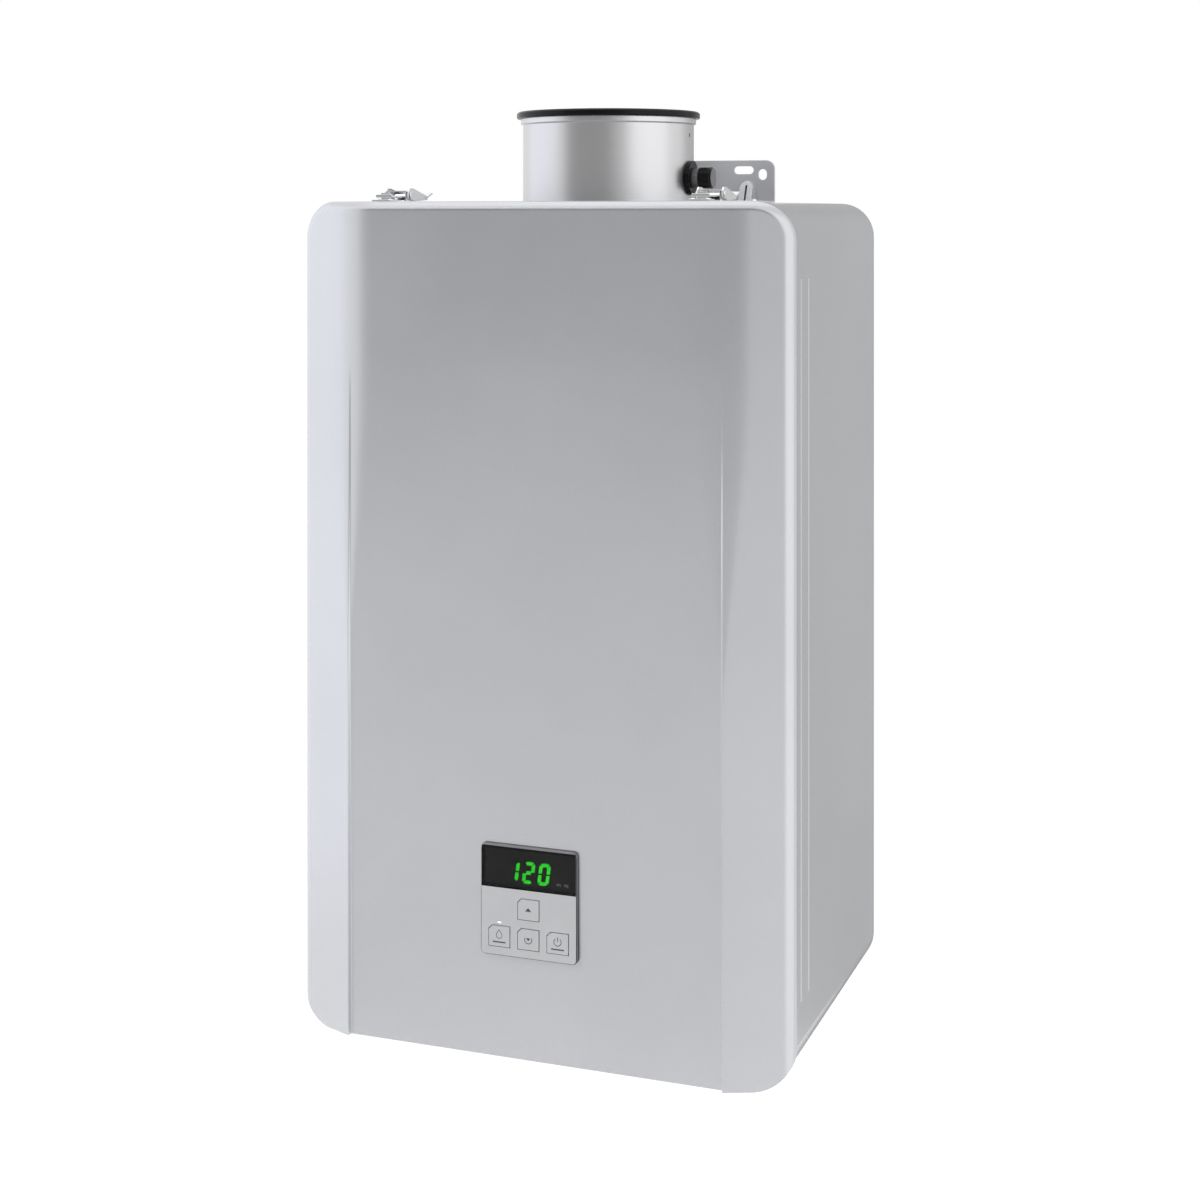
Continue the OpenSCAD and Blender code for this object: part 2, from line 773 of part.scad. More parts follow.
// Sheet-metal screws of the brackets and the collar
module sheet_screws() {
  color(chrome) {
    for (p = foot_screws) translate([p[0], p[1], case_top + bracket_t]) screw(bracket_t + case_t + 4);
    for (p = collar_screws) translate([p[0], p[1], case_top + collar_flange_t]) screw(collar_flange_t + case_t + 4);
    for (p = back_screws) {
      y_bar(screw_r, panel_y, case_t + bracket_t - 0.5, p[0], p[1]);
      y_bar(screw_head_r, panel_y - screw_head_h, screw_head_h, p[0], p[1]);
    }
  }
}

module vent_collar() {
  color(steel) difference() {
    translate([0, vent_y, case_top]) rotate_extrude($fn = 128) polygon([
      [collar_low, 0], [collar_flange, 0], [collar_flange, collar_flange_t], [collar_r, collar_flange_t],
      [collar_r, collar_h - 4.6], [collar_r + collar_lip, collar_h - 3.8],
      [collar_r + collar_lip, collar_h], [collar_in, collar_h],
      [collar_in, stop_z - case_top], [collar_low, stop_z - case_top]
    ]);
    x_bar(port_neck_r + 0.2, collar_in - 6, 12, vent_y, port_z);
    x_bar(1.5, collar_in - 6, 12, vent_y, case_top + collar_h - 12.5);
    for (p = collar_screws) translate([p[0], p[1], case_top - 1]) cylinder(r = screw_r + seat_gap, h = 4);
  }
}

module rim_seal() {
  color(rubber) translate([0, vent_y, collar_top]) rotate_extrude($fn = 128) polygon([
    [rim_in, 0], [rim_d / 2 - 0.6, 0], [rim_d / 2, 0.8], [rim_d / 2, rim_t - 1.2],
    [rim_d / 2 - 1.4, rim_t], [rim_in + 1, rim_t], [rim_in, rim_t - 1]
  ]);
}

// Inner flue: a socket above, standing on the neck of the hood
module flue_pipe() {
  color(steel) translate([0, vent_y, 0]) rotate_extrude() polygon([
    [flue_neck_r + seat_gap, hood_top], [flue_neck_r + seat_gap + flue_t, hood_top],
    [flue_neck_r + seat_gap + flue_t, flue_top - flue_socket - 6], [flue_r + flue_t, flue_top - flue_socket - 3],
    [flue_r + flue_t, flue_top], [flue_r, flue_top], [flue_r, flue_top - flue_socket],
    [flue_neck_r + seat_gap, flue_top - flue_socket]
  ]);
}

module flue_seal() {
  color([0.45, 0.16, 0.12]) translate([0, vent_y, flue_top]) rotate_extrude() polygon([
    [flue_r + 0.4, 0], [flue_r + flue_t + 1.4, 0], [flue_r + flue_t + 1.4, 2.2], [flue_r + 0.9, 2.2]
  ]);
}

module port_grommet() {
  color(rubber) difference() {
    union() {
      difference() {
        x_bar(port_disc_d / 2, collar_r - 6, port_face - collar_r + 6, vent_y, port_z);
        translate([0, vent_y, port_z - 30]) cylinder(r = collar_r + seat_gap, h = 60, $fn = 128);
      }
      x_bar(port_neck_r, collar_low - 1.5, collar_r - collar_low + 3, vent_y, port_z);
    }
    x_bar(port_bore_r, collar_in - 6, 30, vent_y, port_z);
  }
}

module port_nipple() {
  color([0.45, 0.45, 0.46]) difference() {
    union() {
      x_bar(port_bore_r - seat_gap, collar_low - 1.5, port_face - collar_low + 2, vent_y, port_z);
      x_bar(port_cap_w / 2 - 0.5, port_face, port_collar_t, vent_y, port_z);
      x_bar(port_spigot_r, port_face, port_collar_t + port_cap_len - 2, vent_y, port_z);
    }
    x_bar(port_spigot_r - 2, collar_in - 6, 60, vent_y, port_z);
  }
}

module port_cap() {
  x0 = port_face + port_collar_t + part_gap;
  color(black) difference() {
    union() {
      along_x(x0, port_cap_len - 1.2) translate([vent_y, port_z])
        rounded_rect(port_cap_w, port_cap_w, 6);
      along_x(x0 + port_cap_len - 1.2, 1.2) translate([vent_y, port_z])
        rounded_rect(port_cap_w - 1.8, port_cap_w - 1.8, 5.2);
    }
    x_bar(port_spigot_r + part_gap, x0 - 1, port_cap_len - 0.8, vent_y, port_z);
  }
}

// Latches are drawn once, centred on x = 0, seam at y = 0, case top at z = 0
module at_latch(side) {
  translate([side * latch_x, seam_y, case_top]) children();
}

module latch_base() {
  p = lever_pivot;
  difference() {
    union() {
      block([-ear_out, 4, 0], [ear_out, pivot_back + 22, latch_t]);
      for (s = [-1, 1]) {
        along_x(s > 0 ? ear_in : -ear_out, latch_t)
          polygon([[p[0] - 4.5, 0], [p[0] + 4.5, 0], [p[0] + 3, p[1] + 3], [p[0] - 3, p[1] + 3]]);
        x_bar(pin_r, s > 0 ? ear_in : -latch_w / 2 - 0.6, latch_w / 2 + 0.6 - ear_in, p[0], p[1]);
        x_bar(2.6, s > 0 ? latch_w / 2 + part_gap : -latch_w / 2 - 1, 0.7, p[0], p[1]);
      }
    }
    for (v = base_rivet_v) translate([0, v, -1]) cylinder(r = rivet_r + run_gap, h = 4);
  }
}

module latch_lever() {
  p = lever_pivot;
  end = p[0] + lever_tail;
  for (s = [-1, 1]) difference() {
    along_x(s > 0 ? cheek_in : -latch_w / 2, latch_t) polygon([
      [p[0] - 3.5, p[1] - 2.2], [p[0] - 3.5, p[1] + 2.8], [p[0] - 1, p[1] + 5.1], [p[0] + 5, p[1] + 5.1],
      [end, p[1] - 0.4], [end, p[1] - 3], [p[0] + 8, p[1] - 4]
    ]);
    x_bar(pin_r + run_gap, s * latch_w / 2 - 4, 8, p[0], p[1]);
  }
  x_bar(bail_pin_r, -latch_w / 2 + 0.4, latch_w - 0.8, bail_pivot[0], bail_pivot[1]);
  web = bail_pivot[0] + barrel_r + 1;
  top = p[1] + 5.1;
  fall = 5.5 / (lever_tail - 5);
  start = top - (web - p[0] - 5) * fall;
  along_x(-latch_w / 2, latch_w) polygon([
    [web, start - latch_t], [web, start], [end, p[1] - 0.4], [end + tab_len, p[1] + 2.4],
    [end + tab_len + 0.6, p[1] + 1.4], [end, p[1] - 0.4 - latch_t]
  ]);
}

module latch_bail() {
  p = bail_pivot;
  front = lip_back - seat_gap - latch_t;
  difference() {
    union() {
      x_bar(barrel_r, -bail_half, 2 * bail_half, p[0], p[1]);
      block([-bail_half, front - bar_len, p[1] - 0.6], [bail_half, p[0], p[1] + 0.6]);
      block([-bail_half, front - bar_len, p[1] - 0.6], [bail_half, front - bar_len + 1, p[1] + 1.6]);
    }
    x_bar(bail_pin_r + run_gap, -latch_w, 2 * latch_w, p[0], p[1]);
    block([-lip_half - 0.5, front, p[1] - 3], [lip_half + 0.5, front + window_len, p[1] + 3]);
  }
}

module latch_catch() {
  difference() {
    union() {
      block([-7, lip_back - 8.5, case_step], [7, -1.2, case_step + latch_t]);
      block([-lip_half, lip_back - latch_t, case_step], [lip_half, lip_back, lip_top]);
    }
    for (u = [-1, 1])
      translate([u * catch_rivet_u, catch_rivet_v, case_step - 1]) cylinder(r = rivet_r + run_gap, h = 4);
  }
}

module rivet(grip) {
  translate([0, 0, -grip - 0.8]) cylinder(r = rivet_r, h = grip + 0.8);
  cylinder(r = rivet_r + 0.8, h = 0.8);
}

module latch_rivets() {
  color(chrome) for (s = [-1, 1]) at_latch(s) {
    for (u = [-1, 1])
      translate([u * catch_rivet_u, catch_rivet_v, case_step + latch_t]) rivet(latch_t + cover_t);
    for (v = base_rivet_v) translate([0, v, latch_t]) rivet(latch_t + case_t);
  }
}

module latch_base_left() { color(chrome) at_latch(-1) latch_base(); }
module latch_base_right() { color(chrome) at_latch(1) latch_base(); }
module latch_lever_left() { color(chrome) at_latch(-1) latch_lever(); }
module latch_lever_right() { color(chrome) at_latch(1) latch_lever(); }
module latch_bail_left() { color(chrome) at_latch(-1) latch_bail(); }
module latch_bail_right() { color(chrome) at_latch(1) latch_bail(); }
module latch_catch_left() { color(chrome) at_latch(-1) latch_catch(); }
module latch_catch_right() { color(chrome) at_latch(1) latch_catch(); }

// Outline of a button with its upper left corner cut off
module button_outline(grow) {
  w = button_w / 2 + grow;
  h = button_h / 2 + grow;
  polygon([[-w, -h], [w, -h], [w, h], [-w + button_cut, h], [-w, h - button_cut]]);
}

button_places = [[0, upper_row], [0, lower_row], [-button_pitch_x, lower_row], [button_pitch_x, lower_row]];

module panel_bezel() {
  inner_w = panel_w - 2 * panel_margin - 0.6;
  inner_h = panel_h - 2 * panel_margin - 0.6;
  color(plastic) difference() {
    union() {
      difference() {
        union() {
          along_y(panel_front, panel_proud) translate([0, panel_zc]) rounded_rect(panel_w, panel_h, 3);
          along_y(panel_back, panel_depth) translate([0, panel_zc]) square([inner_w, inner_h], center = true);
        }
        along_y(plate_back, panel_proud + panel_depth) translate([0, panel_zc])
          square([inner_w - 2 * panel_wall, inner_h - 2 * panel_wall], center = true);
      }
      for (sx = [-1, 1], z = [upper_row, panel_zc + inner_h / 2 - 4])
        y_bar(post_r, plate_back, board_y - plate_back, sx * (inner_w / 2 - 4), z);
    }
    along_y(panel_front - 1, 1 + window_t) translate([0, window_zc])
      square([window_w + 2 * seat_gap, window_h + 2 * seat_gap], center = true);
    along_y(panel_front - 1, panel_t + 3) translate([0, window_zc])
      square([inner_w - 9 - 2 * post_r, window_h - 2 * window_ledge], center = true);
    for (p = button_places)
      along_y(panel_front - 1, panel_t + 3) translate(p) button_outline(button_gap);
    y_bar(lens_r + seat_gap, panel_front - 1, panel_t + 3, -button_pitch_x, lens_z);
    along_x(-panel_w, 2 * panel_w) polygon([
      [panel_front - 1, panel_top - panel_bevel], [panel_front, panel_top - panel_bevel],
      [panel_front + panel_bevel / 2, panel_top + 0.1], [panel_front - 1, panel_top + 0.1]
    ]);
  }
}

module display_window() {
  color(black) along_y(panel_front, window_t) translate([0, window_zc]) square([window_w, window_h], center = true);
}

// One leaning seven-bar digit; the lit bars are given by their numbers
module digit(lit) {
  w = digit_w;
  h = digit_h;
  s = segment_w;
  bars = [[0, h / 2, 0], [w / 2, h / 4, 90], [w / 2, -h / 4, 90], [0, -h / 2, 0],
    [-w / 2, -h / 4, 90], [-w / 2, h / 4, 90], [0, 0, 0]];
  long = [w, h / 2];
  multmatrix([[1, 0.14, 0, 0], [0, 1, 0, 0], [0, 0, 1, 0]])
    for (i = lit) {
      b = bars[i];
      len = (b[2] == 0 ? long[0] : long[1]) - s * 0.5;
      translate([b[0], b[1]]) rotate(b[2])
        polygon([[-len / 2, 0], [-len / 2 + s / 2, s / 2], [len / 2 - s / 2, s / 2], [len / 2, 0],
          [len / 2 - s / 2, -s / 2], [-len / 2 + s / 2, -s / 2]]);
    }
}

module display_segments() {
  shown = [[1, 2], [0, 1, 6, 4, 3], [0, 1, 2, 3, 4, 5]];
  color(glow) along_y(board_y - module_t - digit_t, digit_t) translate([digit_right, window_zc - digit_drop])
    for (i = [0 : 2]) translate([(i - 1) * digit_pitch, 0]) digit(shown[i]);
}

module control_board() {
  w = panel_w - 2 * panel_margin - 2 * panel_wall - 1.4;
  h = panel_h - 2 * panel_margin - 2 * panel_wall - 1.4;
  color(board_green) {
    along_y(board_y, board_t) translate([0, panel_zc]) square([w, h], center = true);
    along_y(board_y - module_t, module_t) translate([0, window_zc])
      square([w - 16, window_h - 2 * window_ledge - 1], center = true);
    for (p = button_places)
      along_y(board_y - 2.6, 2.6) translate(p) square(6, center = true);
    block([-14, board_y + board_t, panel_zc - 6], [14, board_y + board_t + 2.4, panel_zc + 6]);
  }
}

module indicator_lens() {
  color([0.9, 0.9, 0.88]) y_bar(lens_r, panel_front, board_y - panel_front, -button_pitch_x, lens_z);
}

// Button cap, the side wings that keep it behind the panel and the stem that reaches its switch
module button_at(p) {
  along_y(panel_front - button_proud, button_proud + panel_t + 0.2) translate(p) button_outline(0);
  along_y(plate_back + 0.2, button_wing_t) translate(p)
    square([button_w + 2 * button_wing, button_h], center = true);
  stem_end = board_y - 2.6 - button_travel - 0.1;
  y_bar(button_stem_r, plate_back + 0.2, stem_end - plate_back - 0.2, p[0], p[1]);
}

module button_up() { color(plastic) button_at(button_places[0]); }
module button_down() { color(plastic) button_at(button_places[1]); }
module button_priority() { color(plastic) button_at(button_places[2]); }
module button_power() { color(plastic) button_at(button_places[3]); }

// Threaded fitting clamped in the case bottom
module fitting(top, drop) {
  end = case_bot - drop;
  rotate_extrude() polygon([
    [bore_r, end], [thread_r - 1, end], [thread_r, end + 1], [thread_r, end + thread_len],
    [body_r, end + thread_len], [body_r, case_bot - 3], [body_r + 5, case_bot - 3],
    [body_r + 5, case_bot], [body_r, case_bot], [body_r, inner_bot], [body_r + 4, inner_bot],
    [body_r + 4, inner_bot + 6], [body_r, inner_bot + 6], [body_r, top], [bore_r, top]
  ]);
}

module water_fitting(x) {
  difference() {
    union() {
      translate([x, water_y, 0]) fitting(fitting_top, fitting_drop);
      y_bar(boss_r, water_y - boss_len, boss_len - bore_r - 1, x, boss_z);
    }
    y_bar(plug_d / 2 + run_gap, water_y - boss_len - 1, boss_len + 1, x, boss_z);
  }
}

module drain_plug(x) {
  face = water_y - boss_len - 0.2;
  y_bar(plug_d / 2, face, plug_depth, x, boss_z);
  y_bar(knob_d / 2, face - 4, 4, x, boss_z);
  along_y(face - 11, 7.5) translate([x, boss_z]) rounded_rect(knob_d * 0.86, 5, 2);
}

module cold_inlet() { color(brass) water_fitting(water_x); }
module hot_outlet() { color(brass) water_fitting(-water_x); }
module cold_plug() { color(black) drain_plug(water_x); }
module hot_plug() { color(black) drain_plug(-water_x); }
module gas_inlet() { color(brass) translate([gas_x, gas_y, 0]) fitting(valve_z0, gas_drop); }

spider_z = [5, sensor_h - 9];

module flow_sensor() {
  color([0.25, 0.26, 0.28]) translate([water_x, water_y, fitting_top]) difference() {
    union() {
      difference() {
        cylinder(r = sensor_r, h = sensor_h);
        translate([0, 0, -1]) cylinder(r = sensor_bore, h = sensor_h + 2);
      }
      for (z = spider_z) {
        translate([-sensor_bore - 1, -1.5, z]) cube([2 * sensor_bore + 2, 3, 4]);
        translate([0, 0, z]) cylinder(r = 3, h = 4);
      }
      block([-8, -sensor_r - 6, 14], [8, -sensor_r + 2, 34]);
    }
    translate([0, 0, 1]) cylinder(r = 1 + run_gap, h = sensor_h);
  }
}

module flow_turbine() {
  z0 = spider_z[0] + 4.4;
  h = spider_z[1] - spider_z[0] - 4.8;
  color([0.85, 0.85, 0.82]) translate([water_x, water_y, fitting_top]) {
    translate([0, 0, spider_z[0]]) cylinder(r = 1, h = spider_z[1] - spider_z[0] + 4);
    translate([0, 0, z0]) cylinder(r = 4, h = h);
    for (a = [0 : 90 : 270]) rotate(a) translate([3, -0.75, z0 + 1]) cube([sensor_bore - 4, 1.5, h - 2]);
  }
}

// Motor-driven valve that sets the water flow
module water_valve() {
  color([0.30, 0.31, 0.33]) translate([water_x, water_y, sensor_top]) difference() {
    union() {
      cylinder(r = sensor_r, h = valve_h);
      block(
        [-actuator_w / 2, -sensor_r - actuator_d, actuator_rise],
        [actuator_w / 2, -sensor_r / 2, actuator_rise + actuator_h]
      );
    }
    translate([0, 0, -1]) cylinder(r = pipe_r - pipe_t, h = valve_h + 2);
  }
}

module cold_pipe() {
  color(copper) pipe([
    [water_x, water_y, valve_top], [water_x, water_y, tube_z - 60], [water_x, tube_y[0], tube_z - 26],
    [water_x, tube_y[0], tube_z], [tube_x, tube_y[0], tube_z]
  ], pipe_r, pipe_t, 12);
}

module hot_pipe() {
  color(copper) pipe([
    [-water_x, water_y, fitting_top], [-water_x, water_y, tube_z - 70], [-water_x, tube_y[4], tube_z - 26],
    [-water_x, tube_y[4], tube_z], [-tube_x, tube_y[4], tube_z]
  ], pipe_r, pipe_t, 12);
}

module gas_valve() {
  color([0.62, 0.63, 0.65]) {
    block([gas_x - valve_w / 2, valve_front, valve_z0], [gas_x + valve_w / 2, valve_back, valve_z1 - valve_head_h]);
    block(
      [gas_x - valve_head_w / 2, valve_front, valve_z1 - valve_head_h],
      [gas_x + valve_head_w / 2, manifold_back, valve_z1]
    );
    for (i = [0, 1]) y_bar(coil_r, valve_front - coil_len, coil_len, gas_x, valve_z0 + coil_rise + i * coil_pitch);
    translate([gas_x, manifold_back - manifold_d / 2, valve_z1])
      cylinder(r = riser_r, h = manifold_zc - manifold_h / 2 - valve_z1);
  }
}

bar_x = [for (i = [0 : bar_count - 1]) (i - (bar_count - 1) / 2) * bar_pitch];

// Gas bar with one nozzle for every burner bar
module gas_manifold() {
  w = stack_w - 12;
  color([0.70, 0.71, 0.73]) {
    block(
      [-w / 2, manifold_back - manifold_d, manifold_zc - manifold_h / 2],
      [w / 2, manifold_back, manifold_zc + manifold_h / 2]
    );
    for (s = [-1, 1])
      block(
        [s * (w / 2 - 3) - 3, manifold_back, manifold_zc - manifold_h / 2],
        [s * (w / 2 - 3) + 3, stack_front, manifold_zc + manifold_h / 2]
      );
    for (x = bar_x) y_bar(2.6, manifold_back, 2.8, x, nozzle_z);
  }
}

module cord_gland() {
  color(black) translate([gland_x, gland_y, 0]) rotate_extrude() polygon([
    [gland_bore / 2, case_bot - 16], [gland_r - 1, case_bot - 16], [gland_r, case_bot - 12],
    [gland_r, case_bot - 5], [gland_r + gland_flange, case_bot - 5], [gland_r + gland_flange, case_bot],
    [gland_r, case_bot], [gland_r, inner_bot], [gland_r + 3, inner_bot], [gland_r + 3, inner_bot + 5],
    [gland_bore / 2, inner_bot + 5]
  ]);
}

// Sheet box of the burner stack between two heights, open above and below
module stack_tube(z0, z1) {
  difference() {
    block([-stack_w / 2, stack_front, z0], [stack_w / 2, stack_back, z1]);
    block(
      [-stack_w / 2 + stack_t, stack_front + stack_t, z0 - 1],
      [stack_w / 2 - stack_t, stack_back - stack_t, z1 + 1]
    );
  }
}

electrode_x = [-30, 0, 30];
electrode_z = box_top - 14;

module burner_box() {
  color([0.66, 0.67, 0.66]) difference() {
    union() {
      stack_tube(box_bot, box_top);
      block([-stack_w / 2, stack_front, box_bot], [stack_w / 2, stack_back, box_bot + stack_t]);
    }
    block(
      [duct_x0 + blower_t, blower_y0 + blower_t, box_bot - 1],
      [duct_x0 + duct_w - blower_t, blower_y1 - blower_t, box_bot + 4]
    );
    for (x = bar_x) y_bar(3.4, stack_front - 1, stack_t + 2, x, nozzle_z);
    for (x = electrode_x) y_bar(4.2, stack_front - 1, stack_t + 2, x, electrode_z);
  }
}

// Slotted burner bars that reach from the front to the back wall of the box
module burner_bars() {
  y0 = stack_front + stack_t;
  y1 = stack_back - stack_t;
  color([0.58, 0.57, 0.55]) for (x = bar_x) difference() {
    block([x - bar_t / 2, y0, bar_z], [x + bar_t / 2, y1, bar_z + bar_h]);
    y_bar(3, y0 - 1, 24, x, nozzle_z);
    for (i = [0 : 7])
      block(
        [x - bar_t / 2 + 1.5, y0 + 8 + i * (y1 - y0 - 12) / 8, bar_z + bar_h - 6],
        [x + bar_t / 2 - 1.5, y0 + 13 + i * (y1 - y0 - 12) / 8, bar_z + bar_h + 1]
      );
  }
}

module exchanger_shell() {
  color(copper) difference() {
    stack_tube(core_bot, core_bot + core_h);
    for (y = tube_y) x_bar(pipe_r + seat_gap, -stack_w, 2 * stack_w, y, tube_z);
  }
}

module exchanger_fins() {
  pitch = (stack_w - 2 * stack_t - 14) / (fin_count - 1);
  color(copper) for (i = [0 : fin_count - 1])
    along_x((i - (fin_count - 1) / 2) * pitch - fin_t / 2, fin_t) difference() {
      translate([vent_y, tube_z]) square([stack_d - 2 * stack_t - 1, core_h * 0.5], center = true);
      for (y = tube_y) translate([y, tube_z]) circle(r = pipe_r + seat_gap);
    }
}

module return_bend(y, side) {
  translate([side * tube_x, y, tube_z]) rotate([0, 0, side > 0 ? -90 : 90])
    rotate_extrude(angle = 180) translate([tube_pitch / 2, 0]) difference() {
      circle(r = pipe_r);
      circle(r = pipe_r - pipe_t);
    }
}

// Tube bank: five straight runs joined end to end by return bends
module exchanger_tubes() {
  color(copper) {
    for (y = tube_y) difference() {
      x_bar(pipe_r, -tube_x, 2 * tube_x, y, tube_z);
      x_bar(pipe_r - pipe_t, -tube_x - 1, 2 * tube_x + 2, y, tube_z);
    }
    for (i = [0, 2]) return_bend((tube_y[i] + tube_y[i + 1]) / 2, -1);
    for (i = [1, 3]) return_bend((tube_y[i] + tube_y[i + 1]) / 2, 1);
  }
}

module hood_form(grow) {
  hull() {
    translate([0, vent_y, hood_bot + 0.5])
      cube([stack_w + 2 * grow, stack_d + 2 * grow, 1], center = true);
    translate([0, vent_y, hood_top - 1]) cylinder(r = flue_neck_r + grow, h = 1);
  }
}

module flue_hood() {
  color(steel) difference() {
    union() {
      hood_form(0);
      translate([0, vent_y, hood_top - 2]) cylinder(r = flue_neck_r, h = neck_len + 2);
    }
    translate([0, 0, -0.01]) hood_form(-stack_t);
    translate([0, vent_y, hood_top - 3]) cylinder(r = flue_neck_r - stack_t, h = neck_len + 6);
  }
}

strut_x = stack_w / 2 - 18;

module stack_brackets() {
  z0 = box_bot + 24;
  z1 = core_bot + core_h - 20;
  color(steel) for (s = [-1, 1]) {
    block([s * strut_x - 1, stack_back, z0], [s * strut_x + 1, panel_y, z1]);
    block([s * strut_x - 12, stack_back, z0], [s * strut_x + 12, stack_back + 1.5, z1]);
    block([s * strut_x - 12, panel_y - 1.5, z0], [s * strut_x + 12, panel_y, z1]);
  }
}

// Scroll housing that blows up into the burner box
module blower_housing() {
  color([0.55, 0.56, 0.58]) difference() {
    union() {
      y_bar(blower_r, blower_y0, blower_d, -blower_x, blower_z);
      block([duct_x0, blower_y0, blower_z], [duct_x0 + duct_w, blower_y1, box_bot]);
    }
    y_bar(blower_r - blower_t, blower_y0 + blower_t, blower_d - 2 * blower_t, -blower_x, blower_z);
    block(
      [duct_x0 + blower_t, blower_y0 + blower_t, blower_z],
      [duct_x0 + duct_w - blower_t, blower_y1 - blower_t, box_bot + 1]
    );
    y_bar(wheel_r * 0.72, blower_y0 - 1, blower_t + 2, -blower_x, blower_z);
    y_bar(shaft_r + 1.5, blower_y1 - blower_t - 1, blower_t + 2, -blower_x, blower_z);
  }
}

wheel_y0 = blower_y0 + blower_t + 4;
wheel_d = blower_d - 2 * blower_t - 8;

// Squirrel-cage wheel with its shaft
module blower_wheel() {
  y1 = wheel_y0 + wheel_d;
  color([0.30, 0.31, 0.32]) translate([-blower_x, 0, blower_z]) {
    difference() {
      union() {
        y_bar(wheel_r, y1 - 2, 2, 0, 0);
        difference() {
          y_bar(wheel_r, wheel_y0, 3, 0, 0);
          y_bar(wheel_r - 8, wheel_y0 - 1, 5, 0, 0);
        }
      }
    }
    y_bar(12, y1 - 16, 16, 0, 0);
    y_bar(shaft_r, y1 - 2, blower_y1 + 20 - y1 + 2, 0, 0);
    for (i = [0 : blade_count - 1])
      rotate([0, 360 * i / blade_count, 0]) translate([wheel_r - 4.4, 0, 0]) rotate([0, 28, 0])
        block([-3, wheel_y0 + 1, -0.6], [3, y1 - 1, 0.6]);
  }
}

module blower_motor() {
  color([0.20, 0.20, 0.22]) difference() {
    union() {
      y_bar(motor_r, blower_y1, motor_len, -blower_x, blower_z);
      y_bar(motor_r + 5, blower_y1, 3, -blower_x, blower_z);
    }
    y_bar(shaft_r + run_gap, blower_y1 - 1, 25, -blower_x, blower_z);
  }
}

// Spark unit on the left wall of the burner box
module spark_igniter() {
  x1 = -stack_w / 2;
  color(black) {
    translate([x1 - spark_w, stack_front + spark_back, box_bot + spark_rise]) cube([spark_w, spark_d, spark_h]);
    for (s = [-1, 1])
      y_bar(
        spark_lead_r, stack_front + spark_back - spark_lead, spark_lead,
        x1 - spark_w / 2, box_bot + spark_rise + spark_h / 2 + s * spark_lead_pitch / 2
      );
  }
}

module ignition_electrodes() {
  color([0.92, 0.91, 0.88]) for (x = electrode_x) {
    y_bar(4, stack_front - 16, 34, x, electrode_z);
    y_bar(7, stack_front - 3, 3, x, electrode_z);
    y_bar(1.2, stack_front + 17, 16, x, electrode_z);
  }
}

// Upright tray on the case bottom that carries the main board
module board_tray() {
  x0 = tray_x - tray_w / 2;
  x1 = tray_x + tray_w / 2;
  color(steel) {
    block([x0, tray_y, inner_bot], [x1, tray_y + tray_t, inner_bot + tray_h]);
    block([x0, tray_y, inner_bot], [x1, tray_y + tray_foot, inner_bot + tray_t]);
    for (x = [x0 + standoff_edge, x1 - standoff_edge], z = [board_rise + 10, tray_h - standoff_edge])
      y_bar(standoff_r, tray_y - standoff, standoff, x, inner_bot + z);
  }
}

// Main board with its choke, relays, capacitors, chip and row of sockets
module main_board() {
  y1 = tray_y - standoff;
  y0 = y1 - board_t;
  x0 = tray_x - tray_w / 2 + board_edge;
  z0 = inner_bot + board_rise;
  parts_x = x0 + board_edge + 2;
  color(board_green) {
    block([x0, y0, z0], [tray_x + tray_w / 2 - board_edge, y1, inner_bot + tray_h - board_edge]);
    block([parts_x, y0 - choke_d, z0 + low_row], [parts_x + choke_w, y0, z0 + low_row + choke_w]);
    for (i = [0 : 2])
      translate([tray_x - relay_w + i * relay_pitch, y0 - relay_d, z0 + low_row + 2])
        cube([relay_w, relay_d, relay_h]);
    for (i = [0, 1])
      y_bar(can_r, y0 - can_d, can_d, parts_x + 10 + i * can_pitch, z0 + mid_row + 10);
    translate([tray_x - 6, y0 - chip_d, z0 + mid_row]) cube([chip_w, chip_d, chip_w]);
    for (i = [0 : 3])
      translate([parts_x + i * socket_pitch, y0 - socket_d, z0 + top_row]) cube([socket_w, socket_d, socket_h]);
  }
}

case_wrap();
back_panel();
front_cover();
cover_tabs();
cover_seal();
top_bracket();
lower_bracket();
sheet_screws();
vent_collar();
rim_seal();
flue_pipe();
flue_seal();
port_grommet();
port_nipple();
port_cap();
latch_base_left();
latch_base_right();
latch_lever_left();
latch_lever_right();
latch_bail_left();
latch_bail_right();
latch_catch_left();
latch_catch_right();
latch_rivets();
panel_bezel();
display_window();
display_segments();
control_board();
indicator_lens();
button_up();
button_down();
button_priority();
button_power();
cold_inlet();
cold_plug();
flow_sensor();
flow_turbine();
water_valve();
cold_pipe();
hot_outlet();
hot_plug();
hot_pipe();
gas_inlet();
gas_valve();
gas_manifold();
cord_gland();
burner_box();
burner_bars();
exchanger_shell();
exchanger_fins();
exchanger_tubes();
flue_hood();
stack_brackets();
blower_housing();
blower_wheel();
blower_motor();
spark_igniter();
ignition_electrodes();
main_board();
board_tray();
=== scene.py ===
"""Looks of the wall-hung water heater: fine meshes, materials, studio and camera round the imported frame."""

import math

import bmesh
import bpy
from mathutils import Matrix, Vector


